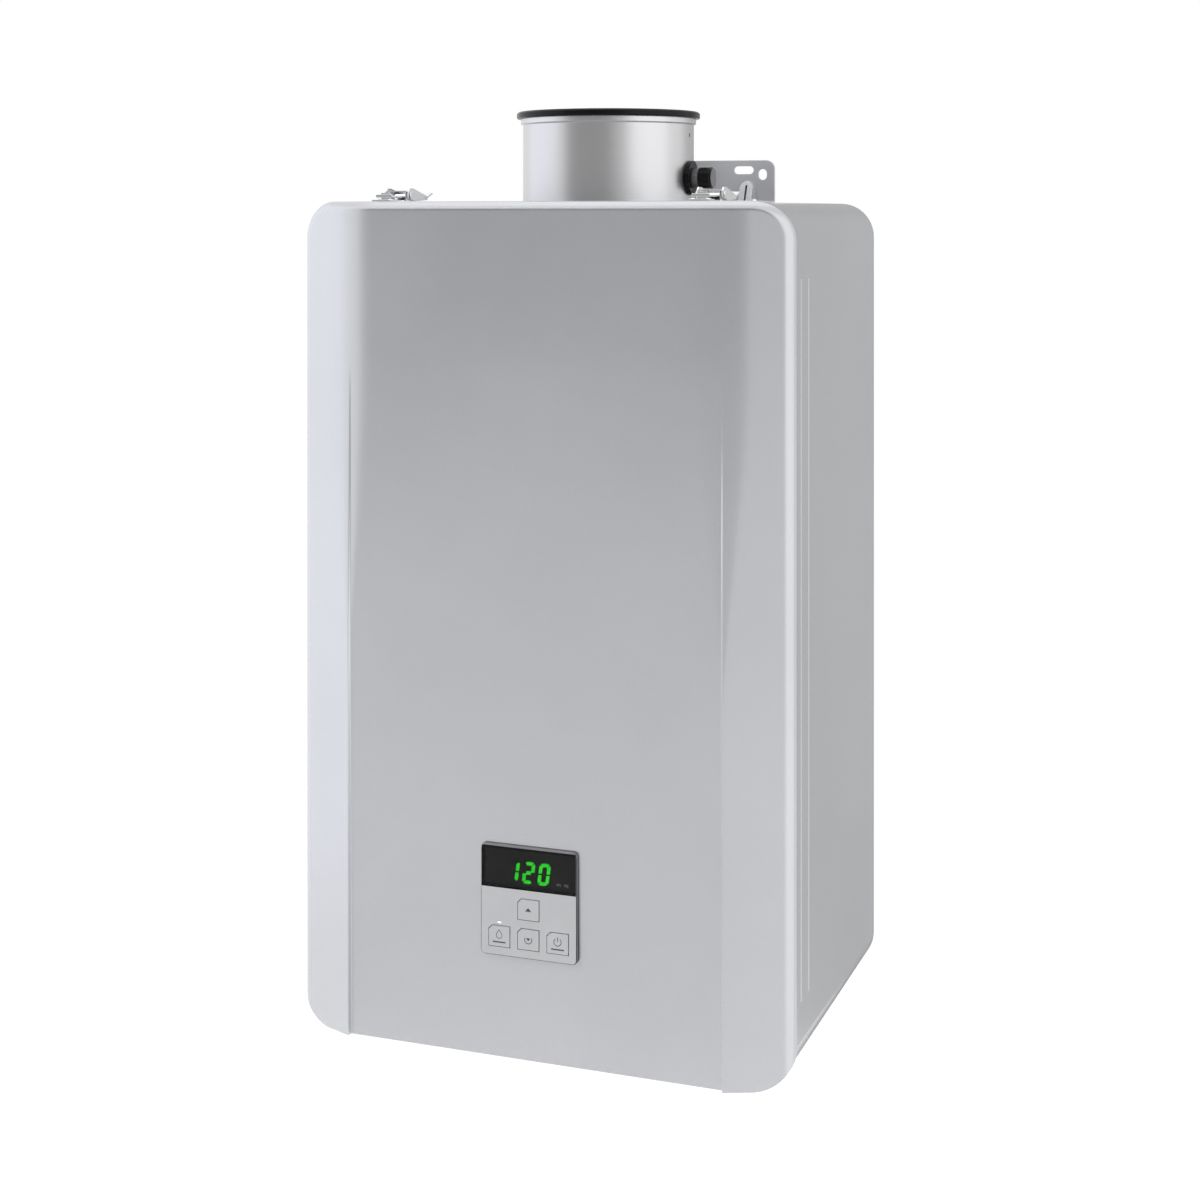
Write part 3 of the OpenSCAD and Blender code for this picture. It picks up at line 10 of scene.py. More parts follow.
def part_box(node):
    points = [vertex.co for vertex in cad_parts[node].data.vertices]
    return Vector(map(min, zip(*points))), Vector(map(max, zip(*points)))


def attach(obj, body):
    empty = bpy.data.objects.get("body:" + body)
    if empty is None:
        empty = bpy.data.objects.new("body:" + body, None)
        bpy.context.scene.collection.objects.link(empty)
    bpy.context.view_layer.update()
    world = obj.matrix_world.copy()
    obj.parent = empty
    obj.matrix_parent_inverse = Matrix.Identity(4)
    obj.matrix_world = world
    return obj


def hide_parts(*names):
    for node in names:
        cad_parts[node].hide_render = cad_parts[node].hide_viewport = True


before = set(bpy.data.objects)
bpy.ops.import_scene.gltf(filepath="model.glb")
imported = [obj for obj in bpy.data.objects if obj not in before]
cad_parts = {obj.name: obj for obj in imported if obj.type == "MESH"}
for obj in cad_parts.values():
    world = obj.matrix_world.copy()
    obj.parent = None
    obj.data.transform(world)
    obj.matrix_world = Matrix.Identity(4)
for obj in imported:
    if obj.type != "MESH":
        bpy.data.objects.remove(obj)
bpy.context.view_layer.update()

# Sizes in millimetres, as in the part's source but for the cover's edge, the display and fine trim
MM = 0.001
COVER_W, COVER_H, CORNER, EDGE, SHEET = 356, 575, 26, 6.8, 1.5
COVER_ZC = -312.5
COVER_BACK, FRONT_Y = -231.5, -256.194
FLANGE, FLANGE_T = 12, 0.9
CREASE_X, CREASE_TOP, CREASE_H = 134.7, -134, 466
RECESS, BLEND_R, BLEND_FADE, SLOPE = 3.7, 100, 240, math.radians(22)
LIP_W, PLAIN_X = 1.5, 106
CASE_TOP, CASE_BOT, INNER_BOT = -26, -599, -597.8
PANEL_Y, VENT_Y, COLLAR_R, HOLE_Z = -3.2, -100.7, 63, 23.5
PANEL_FRONT, PANEL_BACK, PANEL_ZC = -256.685, -253.685, -493.4
PANEL_W, PANEL_H, PANEL_CORNER, PANEL_OPENING = 68.7, 74.2, 3, (64.7, 70.2)
WINDOW_ZC = -471.9
DISPLAY_Y, DIGIT_T, DIGIT_H = -254.685, 0.4, 14.6
DIGIT_RIGHT, DIGIT_DROP = -0.5, 1.7
RECESS_HALF_W, RECESS_LOW, RECESS_HIGH = 33.75, -484.9, -457.7
PANE_FRONT, PANE_BACK = -255.985, -255.485
LAMP_X, LAMP_Z, LAMP_R = -21, -508.4, 1.1
KEY_FACE = PANEL_FRONT - 0.4
KEYS = {"up": (0, -497.8), "down": (0, -517.6), "priority": (-21, -517.6), "power": (21, -517.6)}
SCREW_R, SCREW_HEAD_R, SCREW_HEAD_H = 1.9, 3.6, 2.2
BRACKET_T, FOOT_X, FOOT_Y, FOOT_GRIP = 2, (30, 85.5), -14.85, 7.2
COLLAR_FLANGE_T, COLLAR_SCREW_R, COLLAR_GRIP = 1.5, 70.5, 6.7
HIGH_SCREW_X, HIGH_SCREW_DROP, LOW_SCREW_X, LOW_SCREW_RISE, BACK_GRIP = (28, 78), 24, (18, 58), 28, 2.7
RIVET_R, RIVET_HEAD, LATCH_T = 1.25, 0.8, 1.2
LATCH_X, SEAM_Y = 115, -230.5
CATCH_Y, CATCH_RIVET_X, CATCH_GRIP = SEAM_Y - 9.5, (-5.2, 5.2), 2.7
BASE_RIVET_Y, BASE_GRIP, COVER_TOP = (27, 33), 2.4, -25
THREAD_R, THREAD_PITCH, THREAD_LEN, BORE_R, BODY_R = 13.3, 1.814, 20, 9, 14.9
WATER_END, GAS_END, FITTING_TOP = CASE_BOT - 42, CASE_BOT - 33, CASE_BOT + 30
BOSS_Z, BOSS_R, BOSS_BORE, BOSS_LEN = CASE_BOT - 12.5, 8.95, 6, BODY_R + 10
WATER_X, WATER_Y, GAS_X, GAS_Y, GAS_TOP = 125, -110, 75, -150, CASE_BOT + 45
HEX_LOW, HEX_GROW, HEX_FLAT, NUT_R, NUT_H = CASE_BOT - 3, 5, 2.6, BODY_R + 4, 6


def share(t):
    """Value held between nought and one."""
    return min(max(t, 0.0), 1.0)


def ease(t):
    """Smooth rise from nought to one."""
    t = share(t)
    return t * t * (3 - 2 * t)


def spread(start, end, count):
    """Evenly spaced values from start to end, both included."""
    return [start + (end - start) * i / count for i in range(count + 1)]


# Materials
class Finish:
    """Material with one Principled shader, fed by textures that are fixed to the object."""

    def __init__(self, name, **sockets):
        self.name = name
        self.material = bpy.data.materials.new(name + "_finish")
        self.material.use_nodes = True
        self.tree = self.material.node_tree
        self.shader = self.tree.nodes["Principled BSDF"]
        for socket, value in sockets.items():
            self.shader.inputs[socket.replace("_", " ")].default_value = value
        self.place = self.add("ShaderNodeTexCoord").outputs["Object"]

    def add(self, kind, inputs=None, **settings):
        """New shader node, its inputs set to values or linked to other nodes' outputs."""
        node = self.tree.nodes.new(kind)
        for name, value in settings.items():
            setattr(node, name, value)
        for socket, value in (inputs or {}).items():
            if isinstance(value, bpy.types.NodeSocket):
                self.tree.links.new(value, node.inputs[socket])
            else:
                node.inputs[socket].default_value = value
        return node

    def stretched(self, stretch):
        """Object coordinates drawn together along each axis."""
        return self.add("ShaderNodeMapping", {"Vector": self.place, "Scale": stretch}).outputs["Vector"]

    def noise(self, scale, detail=3.0, stretch=(1, 1, 1)):
        inputs = {"Vector": self.stretched(stretch), "Scale": scale, "Detail": detail}
        return self.add("ShaderNodeTexNoise", inputs).outputs["Fac"]

    def cells(self, scale, feature="F1"):
        inputs = {"Vector": self.place, "Scale": scale}
        return self.add("ShaderNodeTexVoronoi", inputs, feature=feature)

    def colour(self, source, dark, light, low=0.3, high=0.7):
        """Base colour that runs from dark to light as the texture does."""
        ramp = self.add("ShaderNodeValToRGB", {"Fac": source})
        for element, place, tone in zip(ramp.color_ramp.elements, (low, high), (dark, light)):
            element.position = place
            element.color = (*tone, 1)
        self.tree.links.new(ramp.outputs["Color"], self.shader.inputs["Base Color"])
        return self

    def rough(self, source, smooth, dull, low=0.3, high=0.7):
        """Roughness that runs from smooth to dull as the texture does."""
        inputs = {"Value": source, "From Min": low, "From Max": high, "To Min": smooth, "To Max": dull}
        result = self.add("ShaderNodeMapRange", inputs).outputs["Result"]
        self.tree.links.new(result, self.shader.inputs["Roughness"])
        return self

    def relief(self, *layers):
        """Fine surface from (texture, depth in metres) layers, one on the other."""
        for source, depth in layers:
            inputs = {"Height": source, "Distance": depth, "Strength": 1.0}
            bump = self.add("ShaderNodeBump", inputs)
            if self.shader.inputs["Normal"].is_linked:
                self.tree.links.new(self.shader.inputs["Normal"].links[0].from_socket, bump.inputs["Normal"])
            self.tree.links.new(bump.outputs["Normal"], self.shader.inputs["Normal"])
        return self


def tone(colour, change):
    """Colour made lighter or darker by a share of itself."""
    return tuple(c * (1 + change) for c in colour)


def paint_finish(name, colour, smooth, dull):
    """Metallic paint: flakes, faint clouds and the slight waves of sprayed paint."""
    f = Finish(name, Metallic=0.72, Coat_Weight=0.06, Coat_Roughness=0.12)
    flakes = f.cells(2600).outputs["Color"]
    flake = f.add("ShaderNodeSeparateColor", {"Color": flakes}).outputs["Red"]
    mixed = f.add("ShaderNodeMath", {0: flake, 1: 0.35}, operation="MULTIPLY").outputs["Value"]
    clouds = f.noise(7, 4)
    both = f.add("ShaderNodeMath", {0: clouds, 1: mixed}, operation="ADD").outputs["Value"]
    f.colour(both, tone(colour, -0.045), tone(colour, 0.045), 0.35, 1.0)
    f.rough(clouds, smooth, dull)
    return f.relief((f.noise(420, 2), 0.000004), (flake, 0.0000012))


def sheet_finish():
    """Galvanised sheet with its crystal pattern."""
    colour = (0.56, 0.57, 0.58)
    f = Finish("steel_sheet", Metallic=0.9)
    cells = f.cells(95)
    crystal = f.add("ShaderNodeSeparateColor", {"Color": cells.outputs["Color"]}).outputs["Green"]
    f.colour(crystal, tone(colour, -0.16), tone(colour, 0.14), 0.0, 1.0)
    f.rough(crystal, 0.34, 0.5, 0.0, 1.0)
    return f.relief((f.noise(900), 0.000006))


def collar_finish():
    """Stainless steel brushed round the vent axis."""
    colour = (0.64, 0.64, 0.65)
    f = Finish("collar_steel", Metallic=1.0)
    strokes = f.noise(1, 4, (24, 24, 3600))
    f.colour(strokes, tone(colour, -0.02), tone(colour, 0.02))
    f.rough(strokes, 0.29, 0.35)
    return f.relief((strokes, 0.0000006))


def chrome_finish():
    """Bright plating with faint wipe marks."""
    colour = (0.92, 0.925, 0.935)
    f = Finish("chrome", Metallic=1.0)
    wipe = f.noise(60, 5)
    f.colour(wipe, tone(colour, -0.05), tone(colour, 0.03))
    f.rough(f.noise(350, 4), 0.04, 0.12)
    return f.relief((f.noise(900, 2), 0.0000012))


def plastic_finish(name, colour, smooth, dull, grain=1500, depth=0.000012, change=0.06, gloss=0.5):
    """Moulded plastic with a fine spark-eroded grain and faint flow clouds."""
    f = Finish(name, Specular_IOR_Level=gloss)
    clouds = f.noise(45, 4)
    f.colour(clouds, tone(colour, -change), tone(colour, change))
    f.rough(f.noise(grain * 0.4, 3), smooth, dull)
    return f.relief((f.noise(grain, 2), depth))


def rubber_finish(name, colour, dull=0.7, sheen=0.12, gloss=0.5):
    """Moulded rubber with a powdery bloom."""
    f = Finish(name, Sheen_Weight=sheen, Sheen_Roughness=0.5, Specular_IOR_Level=gloss)
    bloom = f.noise(110, 6)
    f.colour(bloom, tone(colour, -0.25), tone(colour, 0.3))
    f.rough(bloom, dull - 0.16, dull)
    return f.relief((f.noise(1800, 2), 0.000004))


def window_finish():
    """Smoked clear plastic with faint waves."""
    f = Finish("smoked_window", Transmission_Weight=1.0, IOR=1.22)
    haze = f.noise(30, 3)
    f.colour(haze, (0.40, 0.40, 0.41), (0.46, 0.46, 0.47))
    f.rough(haze, 0.015, 0.035)
    return f.relief((f.noise(90, 2), 0.000001))


def light_finish(name, colour, strength, grain=700):
    """Lit plastic whose glow is a little uneven."""
    f = Finish(name, Emission_Strength=strength)
    spots = f.noise(grain, 3)
    f.colour(spots, tone(colour, -0.25), tone(colour, 0.1))
    ramp = f.shader.inputs["Base Color"].links[0].from_socket
    f.tree.links.new(ramp, f.shader.inputs["Emission Color"])
    f.rough(spots, 0.35, 0.5)
    return f


def board_finish():
    """Green laminate with its copper paths showing through as paler lines."""
    f = Finish("circuit_board", Coat_Weight=0.3)
    paths = f.cells(420, "DISTANCE_TO_EDGE").outputs["Distance"]
    f.colour(paths, (0.03, 0.17, 0.075), (0.012, 0.085, 0.04), 0.02, 0.08)
    f.rough(f.noise(500), 0.35, 0.5)
    return f.relief((paths, 0.00002))


def metal_finish(name, colour, smooth, dull, stretch=(1, 1, 1), patch=30, change=0.14):
    """Bare metal with tool marks, dull patches and a little tarnish."""
    f = Finish(name, Metallic=1.0)
    tarnish = f.noise(patch, 6)
    f.colour(tarnish, tone(colour, -change * 1.6), tone(colour, change * 0.6))
    marks = f.noise(600, 3, stretch)
    f.rough(marks, smooth, dull)
    return f.relief((marks, 0.000006))


def cast_finish():
    """Die-cast alloy with its pitted skin."""
    colour = (0.50, 0.51, 0.53)
    f = Finish("cast_alloy", Metallic=0.95)
    pits = f.noise(700, 6)
    f.colour(f.noise(40, 5), tone(colour, -0.12), tone(colour, 0.1))
    f.rough(pits, 0.42, 0.6)
    return f.relief((pits, 0.00003))


finishes = {f.name: f.material for f in (
    paint_finish("silver_paint", (0.60, 0.608, 0.632), 0.21, 0.25),
    # Lighter copy of the silver paint for the top bracket: painted light that lifts the shade on it below the
    # collar
    paint_finish("lit_bracket_paint", (0.64, 0.645, 0.665), 0.4, 0.46),
    sheet_finish(), collar_finish(), chrome_finish(), window_finish(), board_finish(), cast_finish(),
    rubber_finish("seal_rubber", (0.014, 0.014, 0.015)),
    rubber_finish("silicone", (0.30, 0.05, 0.03), 0.5),
    rubber_finish("gloss_rubber", (0.003, 0.003, 0.004), 0.36, 0.0, 0.2),
    plastic_finish("black_plastic", (0.006, 0.006, 0.007), 0.18, 0.27, depth=0.000002, gloss=0.2),
    plastic_finish("grey_plastic", (0.565, 0.57, 0.59), 0.34, 0.46, change=0.03),
    plastic_finish("dark_plastic", (0.135, 0.135, 0.14), 0.24, 0.36, depth=0.000004),
    plastic_finish("cap_plastic", (0.20, 0.20, 0.205), 0.3, 0.4),
    # Dark plastic for the bezel's sides: partly the moulding's own darker colour, partly painted shade on the
    # side walls
    plastic_finish("bezel_plastic_and_shade", (0.20, 0.20, 0.21), 0.34, 0.48),
    plastic_finish("display_plastic", (0.014, 0.014, 0.015), 0.4, 0.55, grain=2500),
    plastic_finish("white_plastic", (0.76, 0.76, 0.73), 0.3, 0.42, change=0.03),
    plastic_finish("key_ink", (0.055, 0.055, 0.075), 0.5, 0.6, grain=3000),
    plastic_finish("mark_ink", (0.62, 0.64, 0.60), 0.5, 0.6, grain=3000),
    light_finish("green_light", (0.02, 0.72, 0.016), 1.6),
    # White glow for the lamp's lens, partly a painted highlight
    light_finish("lamp_highlight_glow", (0.86, 0.87, 0.88), 0.7),
    metal_finish("copper", (0.80, 0.44, 0.28), 0.22, 0.4),
    metal_finish("brass", (0.76, 0.60, 0.30), 0.2, 0.34, (1, 1, 6)),
)}

# Inner CAD nodes that keep their own shape
NODE_FINISH = {
    "steel_sheet": ("back_panel", "cover_tabs", "burner_box", "burner_bars", "flue_hood", "stack_brackets",
                    "board_tray"),
    "seal_rubber": ("cover_seal",),
    "collar_steel": ("flue_pipe",),
    "silicone": ("flue_seal",),
    "circuit_board": ("control_board", "main_board"),
    "dark_plastic": ("flow_sensor", "water_valve", "blower_wheel", "blower_motor"),
    "white_plastic": ("flow_turbine", "ignition_electrodes"),
    "black_plastic": ("spark_igniter",),
    "copper": ("cold_pipe", "hot_pipe", "exchanger_shell", "exchanger_fins", "exchanger_tubes"),
    "cast_alloy": ("gas_valve", "gas_manifold", "blower_housing"),
}


# Mesh helpers
def add_piece(name, bm, finish, body="heater", replaced=(), angle=38, even=True):
    """Object from a bmesh in metres, smooth but for its sharp edges, that rides on a body."""
    bmesh.ops.recalc_face_normals(bm, faces=bm.faces)
    mesh = bpy.data.meshes.new(name)
    bm.to_mesh(mesh)
    bm.free()
    mesh.shade_smooth()
    mesh.set_sharp_from_angle(angle=math.radians(angle))
    mesh.materials.append(finishes[finish])
    piece = bpy.data.objects.new(name, mesh)
    bpy.context.scene.collection.objects.link(piece)
    if even:
        normals = piece.modifiers.new("even_normals", "WEIGHTED_NORMAL")
        normals.keep_sharp = True
    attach(piece, body)
    if replaced:
        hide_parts(*replaced)
    return piece


def join_flats(bm):
    """Joins flat neighbours into larger faces, none of which goes all round a hole."""
    for edge in list(bm.edges):
        if not edge.is_valid or len(edge.link_faces) != 2:
            continue
        first, second = edge.link_faces
        if first == second or edge.calc_face_angle() > math.radians(0.5):
            continue
        shared_edges = set(first.edges) & set(second.edges)
        shared_verts = set(first.verts) & set(second.verts)
        if len(shared_verts) == len(shared_edges) + 1:
            bmesh.utils.face_join((first, second))


def cad_copy(node):
    """Copy of a CAD node's mesh as a bmesh with large flat faces."""
    bm = bmesh.new()
    bm.from_mesh(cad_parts[node].data)
    bmesh.ops.remove_doubles(bm, verts=bm.verts, dist=2e-6)
    join_flats(bm)
    return bm


def sharp_edges(bm, angle):
    """Edges where the surface turns by more than an angle in degrees."""
    return [e for e in bm.edges if e.is_manifold and e.calc_face_angle() > math.radians(angle)]


def round_edges(bm, width, segments=2, edges=None):
    """Rounds the given edges, or else all sharp ones, width in millimetres."""
    bmesh.ops.bevel(
        bm, geom=edges or sharp_edges(bm, 30), offset=width * MM, offset_type="OFFSET", segments=segments,
        profile=0.5, affect="EDGES", clamp_overlap=False)
    return bm


def softened(node, width, segments=2):
    """Copy of a CAD node with its sharp edges rounded."""
    return round_edges(cad_copy(node), width, segments)


def add_patch(bm, points):
    """Quads between the rows of a grid of points given in millimetres."""
    grid = [[bm.verts.new(Vector(p) * MM) for p in row] for row in points]
    for lower, upper in zip(grid, grid[1:]):
        for i in range(len(lower) - 1):
            bm.faces.new((lower[i], lower[i + 1], upper[i + 1], upper[i]))


def weld(bm, dist=1e-6):
    """Joins points that lie on each other, dist in metres."""
    bmesh.ops.remove_doubles(bm, verts=bm.verts, dist=dist)
    bmesh.ops.dissolve_degenerate(bm, edges=bm.edges, dist=dist)
    return bm


def add_prism(bm, outline, y_front, y_back):
    """Flat drawing in X and Z raised along Y, in millimetres."""
    loops = [[bm.verts.new(Vector((x, y, z)) * MM) for x, z in outline] for y in (y_front, y_back)]
    bm.faces.new(loops[0])
    bm.faces.new(loops[1][::-1])
    count = len(outline)
    for i in range(count):
        j = (i + 1) % count
        bm.faces.new((loops[0][i], loops[1][i], loops[1][j], loops[0][j]))


def upright(x, y, z):
    """Place whose axis points up."""
    return Matrix.Translation((x, y, z))


def along_x(x, y, z):
    """Place whose axis points to the right."""
    return upright(x, y, z) @ Matrix.Rotation(math.pi / 2, 4, "Y")


def forward(x, y, z):
    """Place whose axis points to the front."""
    return upright(x, y, z) @ Matrix.Rotation(math.pi / 2, 4, "X")


def arc(x, z, r, start, end, count=10):
    """Points on a circle between two angles in degrees."""
    turns = [math.radians(a) for a in spread(start, end, count)]
    return [(x + r * math.cos(t), z + r * math.sin(t)) for t in turns]


def add_turned(bm, place, rows, steps=48):
    """Closed ring of rows turned about an axis. A row gives a height and a radius, or a radius by angle."""
    rings = []
    for height, radius in rows:
        ring = []
        for i in range(steps):
            turn = 2 * math.pi * i / steps
            r = radius(turn) if callable(radius) else radius
            ring.append(bm.verts.new(place @ Vector((r * math.cos(turn), r * math.sin(turn), height)) * MM))
        rings.append(ring)
    for lower, upper in zip(rings, rings[1:] + rings[:1]):
        for i in range(steps):
            j = (i + 1) % steps
            bm.faces.new((lower[i], lower[j], upper[j], upper[i]))


def add_dome(bm, place, rows, steps=32):
    """Solid turned about an axis and closed by a point at both ends."""
    ends = (Vector((0, 0, rows[0][0])), Vector((0, 0, rows[-1][0])))
    rings = []
    for height, radius in rows:
        turns = [2 * math.pi * i / steps for i in range(steps)]
        ring = [Vector((radius * math.cos(t), radius * math.sin(t), height)) for t in turns]
        rings.append([bm.verts.new(place @ p * MM) for p in ring])
    for lower, upper in zip(rings, rings[1:]):
        for i in range(steps):
            j = (i + 1) % steps
            bm.faces.new((lower[i], lower[j], upper[j], upper[i]))
    for end, ring in zip(ends, (rings[0], rings[-1])):
        tip = bm.verts.new(place @ end * MM)
        for i in range(steps):
            bm.faces.new((tip, ring[i], ring[(i + 1) % steps]))


# Front cover: one fine sheet with soft upper bends and creases that deepen downwards.
# Its top and sides are rounded off, its lower edge is sharp.
def recess_at(z):
    """Depth of the flat centre behind the creases at a height."""
    return RECESS * share((CREASE_TOP - z) / CREASE_H)


def bend_at(z):
    """Radius of the bend between the centre and the side strips at a height."""
    return 2 + (BLEND_R - 2) * (1 - ease((CREASE_TOP - z) / BLEND_FADE))


def slope_at(x, r):
    """How far a side strip falls back, after a bend of radius r."""
    reach = r * math.tan(SLOPE / 2)
    start = CREASE_X - reach
    if x <= start:
        return 0.0
    if x < CREASE_X + reach * math.cos(SLOPE):
        return r - math.sqrt(r * r - (x - start) ** 2)
    return (x - CREASE_X) * math.tan(SLOPE)


def front_at(x, z):
    """How far the front lies behind its foremost plane."""
    return slope_at(abs(x), bend_at(z)) + recess_at(z) * ease((CREASE_X - abs(x)) / LIP_W)


def edge_drop(inset, r):
    """Fall of a rounded edge at a distance from the outline."""
    if inset >= r:
        return 0.0
    return r - math.sqrt(max(r * r - (r - inset) ** 2, 0))


def cover_columns(z):
    """Columns of the cover's core at a height. They follow the bends and are close at the creases."""
    core = COVER_W / 2 - CORNER
    reach = bend_at(z) * math.tan(SLOPE / 2)
    lip_start = CREASE_X - 1.4 * LIP_W
    start = min(CREASE_X - reach, lip_start - 1.1)
    end = min(CREASE_X + max(reach * math.cos(SLOPE), 1.2), core - 1)
    half = spread(0, 22, 2) + [PANEL_OPENING[0] / 2] + spread(46, PLAIN_X, 4)
    half += spread(PLAIN_X, start, 6)[1:] + spread(start, lip_start, 10)[1:]
    half += [CREASE_X - LIP_W * t for t in (1.25, 1, 0.93, 0.84, 0.72, 0.58, 0.42, 0.28, 0.16, 0.07, 0)]
    half += spread(CREASE_X, end, 8)[1:] + spread(end, core, 7)[1:]
    return [-x for x in half[:0:-1]] + half


def cover_rows():
    """Heights of the core's rows, with the panel's opening and the creases' top among them."""
    core = COVER_H / 2 - CORNER
    low, high = PANEL_ZC - PANEL_OPENING[1] / 2, PANEL_ZC + PANEL_OPENING[1] / 2
    rows = spread(COVER_ZC - core, low, 5)[:-1] + spread(low, high, 6)[:-1]
    return rows + spread(high, CREASE_TOP, 42)[:-1] + spread(CREASE_TOP, COVER_ZC + core, 10)


def cover_rim(rows):
    """Stations round the cover's core: a point of the core and the direction outwards from it."""
    low, high = rows[0], rows[-1]
    right = COVER_W / 2 - CORNER
    left = -right
    fan = [math.radians(2.5 * i) for i in range(1, 36)]
    quarter = math.pi / 2

    def corner(x, z, start):
        return [((x, z), (math.cos(start + a), math.sin(start + a))) for a in fan]

    return ([((x, low), (0, -1)) for x in cover_columns(low)] + corner(right, low, -quarter)
            + [((right, z), (1, 0)) for z in rows] + corner(right, high, 0)
            + [((x, high), (0, 1)) for x in cover_columns(high)[::-1]] + corner(left, high, quarter)
            + [((left, z), (-1, 0)) for z in rows[::-1]] + corner(left, low, 2 * quarter))


def cover_sheet():
    """Outer and inner skin, the walls down to the rear flange, and the panel's opening."""
    rows = cover_rows()
    columns = cover_columns(rows[0])
    stations = cover_rim(rows)
    stations.append(stations[0])
    insets = [EDGE * (1 - math.sin(math.radians(a))) for a in range(90, -1, -9)] + [8, 11, 15, 20, CORNER]
    bm = bmesh.new()

    def skin_point(x, z, inset, depth):
        if z < COVER_ZC:
            inset = COVER_W / 2 - abs(x)
        return x, FRONT_Y + depth + front_at(x, z) + edge_drop(inset - depth, EDGE - depth), z

    def rim_point(station, inset, y=None, depth=0):
        (x, z), (dx, dz) = station
        x, z = x + dx * (CORNER - inset), z + dz * (CORNER - inset)
        return skin_point(x, z, inset, depth) if y is None else (x, y, z)

    def in_opening(x, z):
        return abs(x) < PANEL_OPENING[0] / 2 and abs(z - PANEL_ZC) < PANEL_OPENING[1] / 2

    for depth in (0, SHEET):
        core = [[skin_point(x, z, CORNER, depth) for x in cover_columns(z)] for z in rows]
        for j in range(len(rows) - 1):
            for i in range(len(columns) - 1):
                middle = (columns[i] + columns[i + 1]) / 2, (rows[j] + rows[j + 1]) / 2
                if not in_opening(*middle):
                    add_patch(bm, [core[j][i:i + 2], core[j + 1][i:i + 2]])
        inner = [depth + s * (CORNER - depth) / CORNER for s in insets]
        add_patch(bm, [[rim_point(s, inset, None, depth) for s in stations] for inset in inner])
    flange_y = COVER_BACK - FLANGE_T
    add_patch(bm, [
        [rim_point(s, 0) for s in stations],
        [rim_point(s, 0, COVER_BACK) for s in stations],
        [rim_point(s, FLANGE, COVER_BACK) for s in stations],
        [rim_point(s, FLANGE, flange_y) for s in stations],
        [rim_point(s, SHEET, flange_y) for s in stations],
        [rim_point(s, SHEET, None, SHEET) for s in stations],
    ])
    half = PANEL_OPENING[0] / 2
    low, high = PANEL_ZC - PANEL_OPENING[1] / 2, PANEL_ZC + PANEL_OPENING[1] / 2
    across = [x for x in columns if abs(x) <= half]
    upward = [z for z in rows if low - 1e-6 <= z <= high + 1e-6]
    hole = ([(x, low) for x in across] + [(half, z) for z in upward]
            + [(x, high) for x in across[::-1]] + [(-half, z) for z in upward[::-1]])
    add_patch(bm, [[skin_point(x, z, CORNER, depth) for x, z in hole] for depth in (0, SHEET)])
    return weld(bm)


add_piece("cover_sheet", cover_sheet(), "silver_paint", replaced=["front_cover"], angle=50, even=False)

# Sheet-metal and moulded pieces keep their CAD shape with rounded edges
SOFTENED = {
    "case_wrap": (0.35, "silver_paint"),
    # The top bracket takes the lighter paint copy, which is painted light
    "top_bracket": (0.35, "lit_bracket_paint"),
    "lower_bracket": (0.4, "silver_paint"),
    "vent_collar": (0.2, "collar_steel"),
    "rim_seal": (0.15, "gloss_rubber"),
    "port_grommet": (0.35, "gloss_rubber"),
    "port_nipple": (0.3, "dark_plastic"),
    "cord_gland": (0.5, "black_plastic"),
}
LATCH_BODY = {"base": "heater", "catch": "heater", "lever": "{}_lever", "bail": "{}_bail"}


def port_cap_face():
    """Matt disc on the end of the test port's cap."""
    low, high = [Vector(corner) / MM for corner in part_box("port_cap")]
    middle = (low + high) / 2
    r = (high.z - low.z) / 2
    bm = bmesh.new()
    add_dome(bm, along_x(high.x, middle.y, middle.z), [(-0.3, r - 1), (0.02, r - 1), (0.08, r - 1.6)])
    return bm


def hole_shade_plug():
    """Dark plug in the collar's small hole: painted shade that darkens the hole."""
    bm = bmesh.new()
    add_dome(bm, along_x(COLLAR_R, VENT_Y, HOLE_Z), [(-1, 1.45), (-0.2, 1.45), (-0.1, 1.3)])
    return bm


for node_name, (width, finish) in SOFTENED.items():
    add_piece(node_name + "_soft", softened(node_name, width), finish, "heater", [node_name])
for side in ("left", "right"):
    for part, body in LATCH_BODY.items():
        node_name = f"latch_{part}_{side}"
        add_piece(node_name + "_soft", softened(node_name, 0.25), "chrome", body.format(side), [node_name])
add_piece("port_cap_soft", softened("port_cap", 0.45, 3), "black_plastic", "port_lid", ["port_cap"])
add_piece("port_cap_face", port_cap_face(), "cap_plastic", "port_lid")
# The dark plug is painted shade inside the collar's small hole
add_piece("hole_shade_plug", hole_shade_plug(), "seal_rubber")
for side in ("cold", "hot"):
    node_name = side + "_plug"
    add_piece(node_name + "_soft", softened(node_name, 0.5), "black_plastic", side + "_drain", [node_name])


# Control panel: silver front, dark sides that are partly painted shade, black recess walls painted as shade,
# and a painted shadow line round the panel
def carved(bm, low, high):
    """Mesh with a box cut out of it, the corners in millimetres."""
    meshes = [bpy.data.meshes.new(name) for name in ("carved", "cutter")]
    bm.to_mesh(meshes[0])
    bm.clear()
    bmesh.ops.create_cube(bm, size=MM)
    for vert in bm.verts:
        vert.co = [a * MM if c < 0 else b * MM for c, a, b in zip(vert.co, low, high)]
    bm.to_mesh(meshes[1])
    bm.free()
    work, cutter = [bpy.data.objects.new(mesh.name, mesh) for mesh in meshes]
    for obj in (work, cutter):
        bpy.context.scene.collection.objects.link(obj)
    cut = work.modifiers.new("cut", "BOOLEAN")
    cut.object = cutter
    result = bmesh.new()
    result.from_object(work, bpy.context.evaluated_depsgraph_get())
    for mesh in meshes:
        bpy.data.meshes.remove(mesh)
    join_flats(result)
    return result


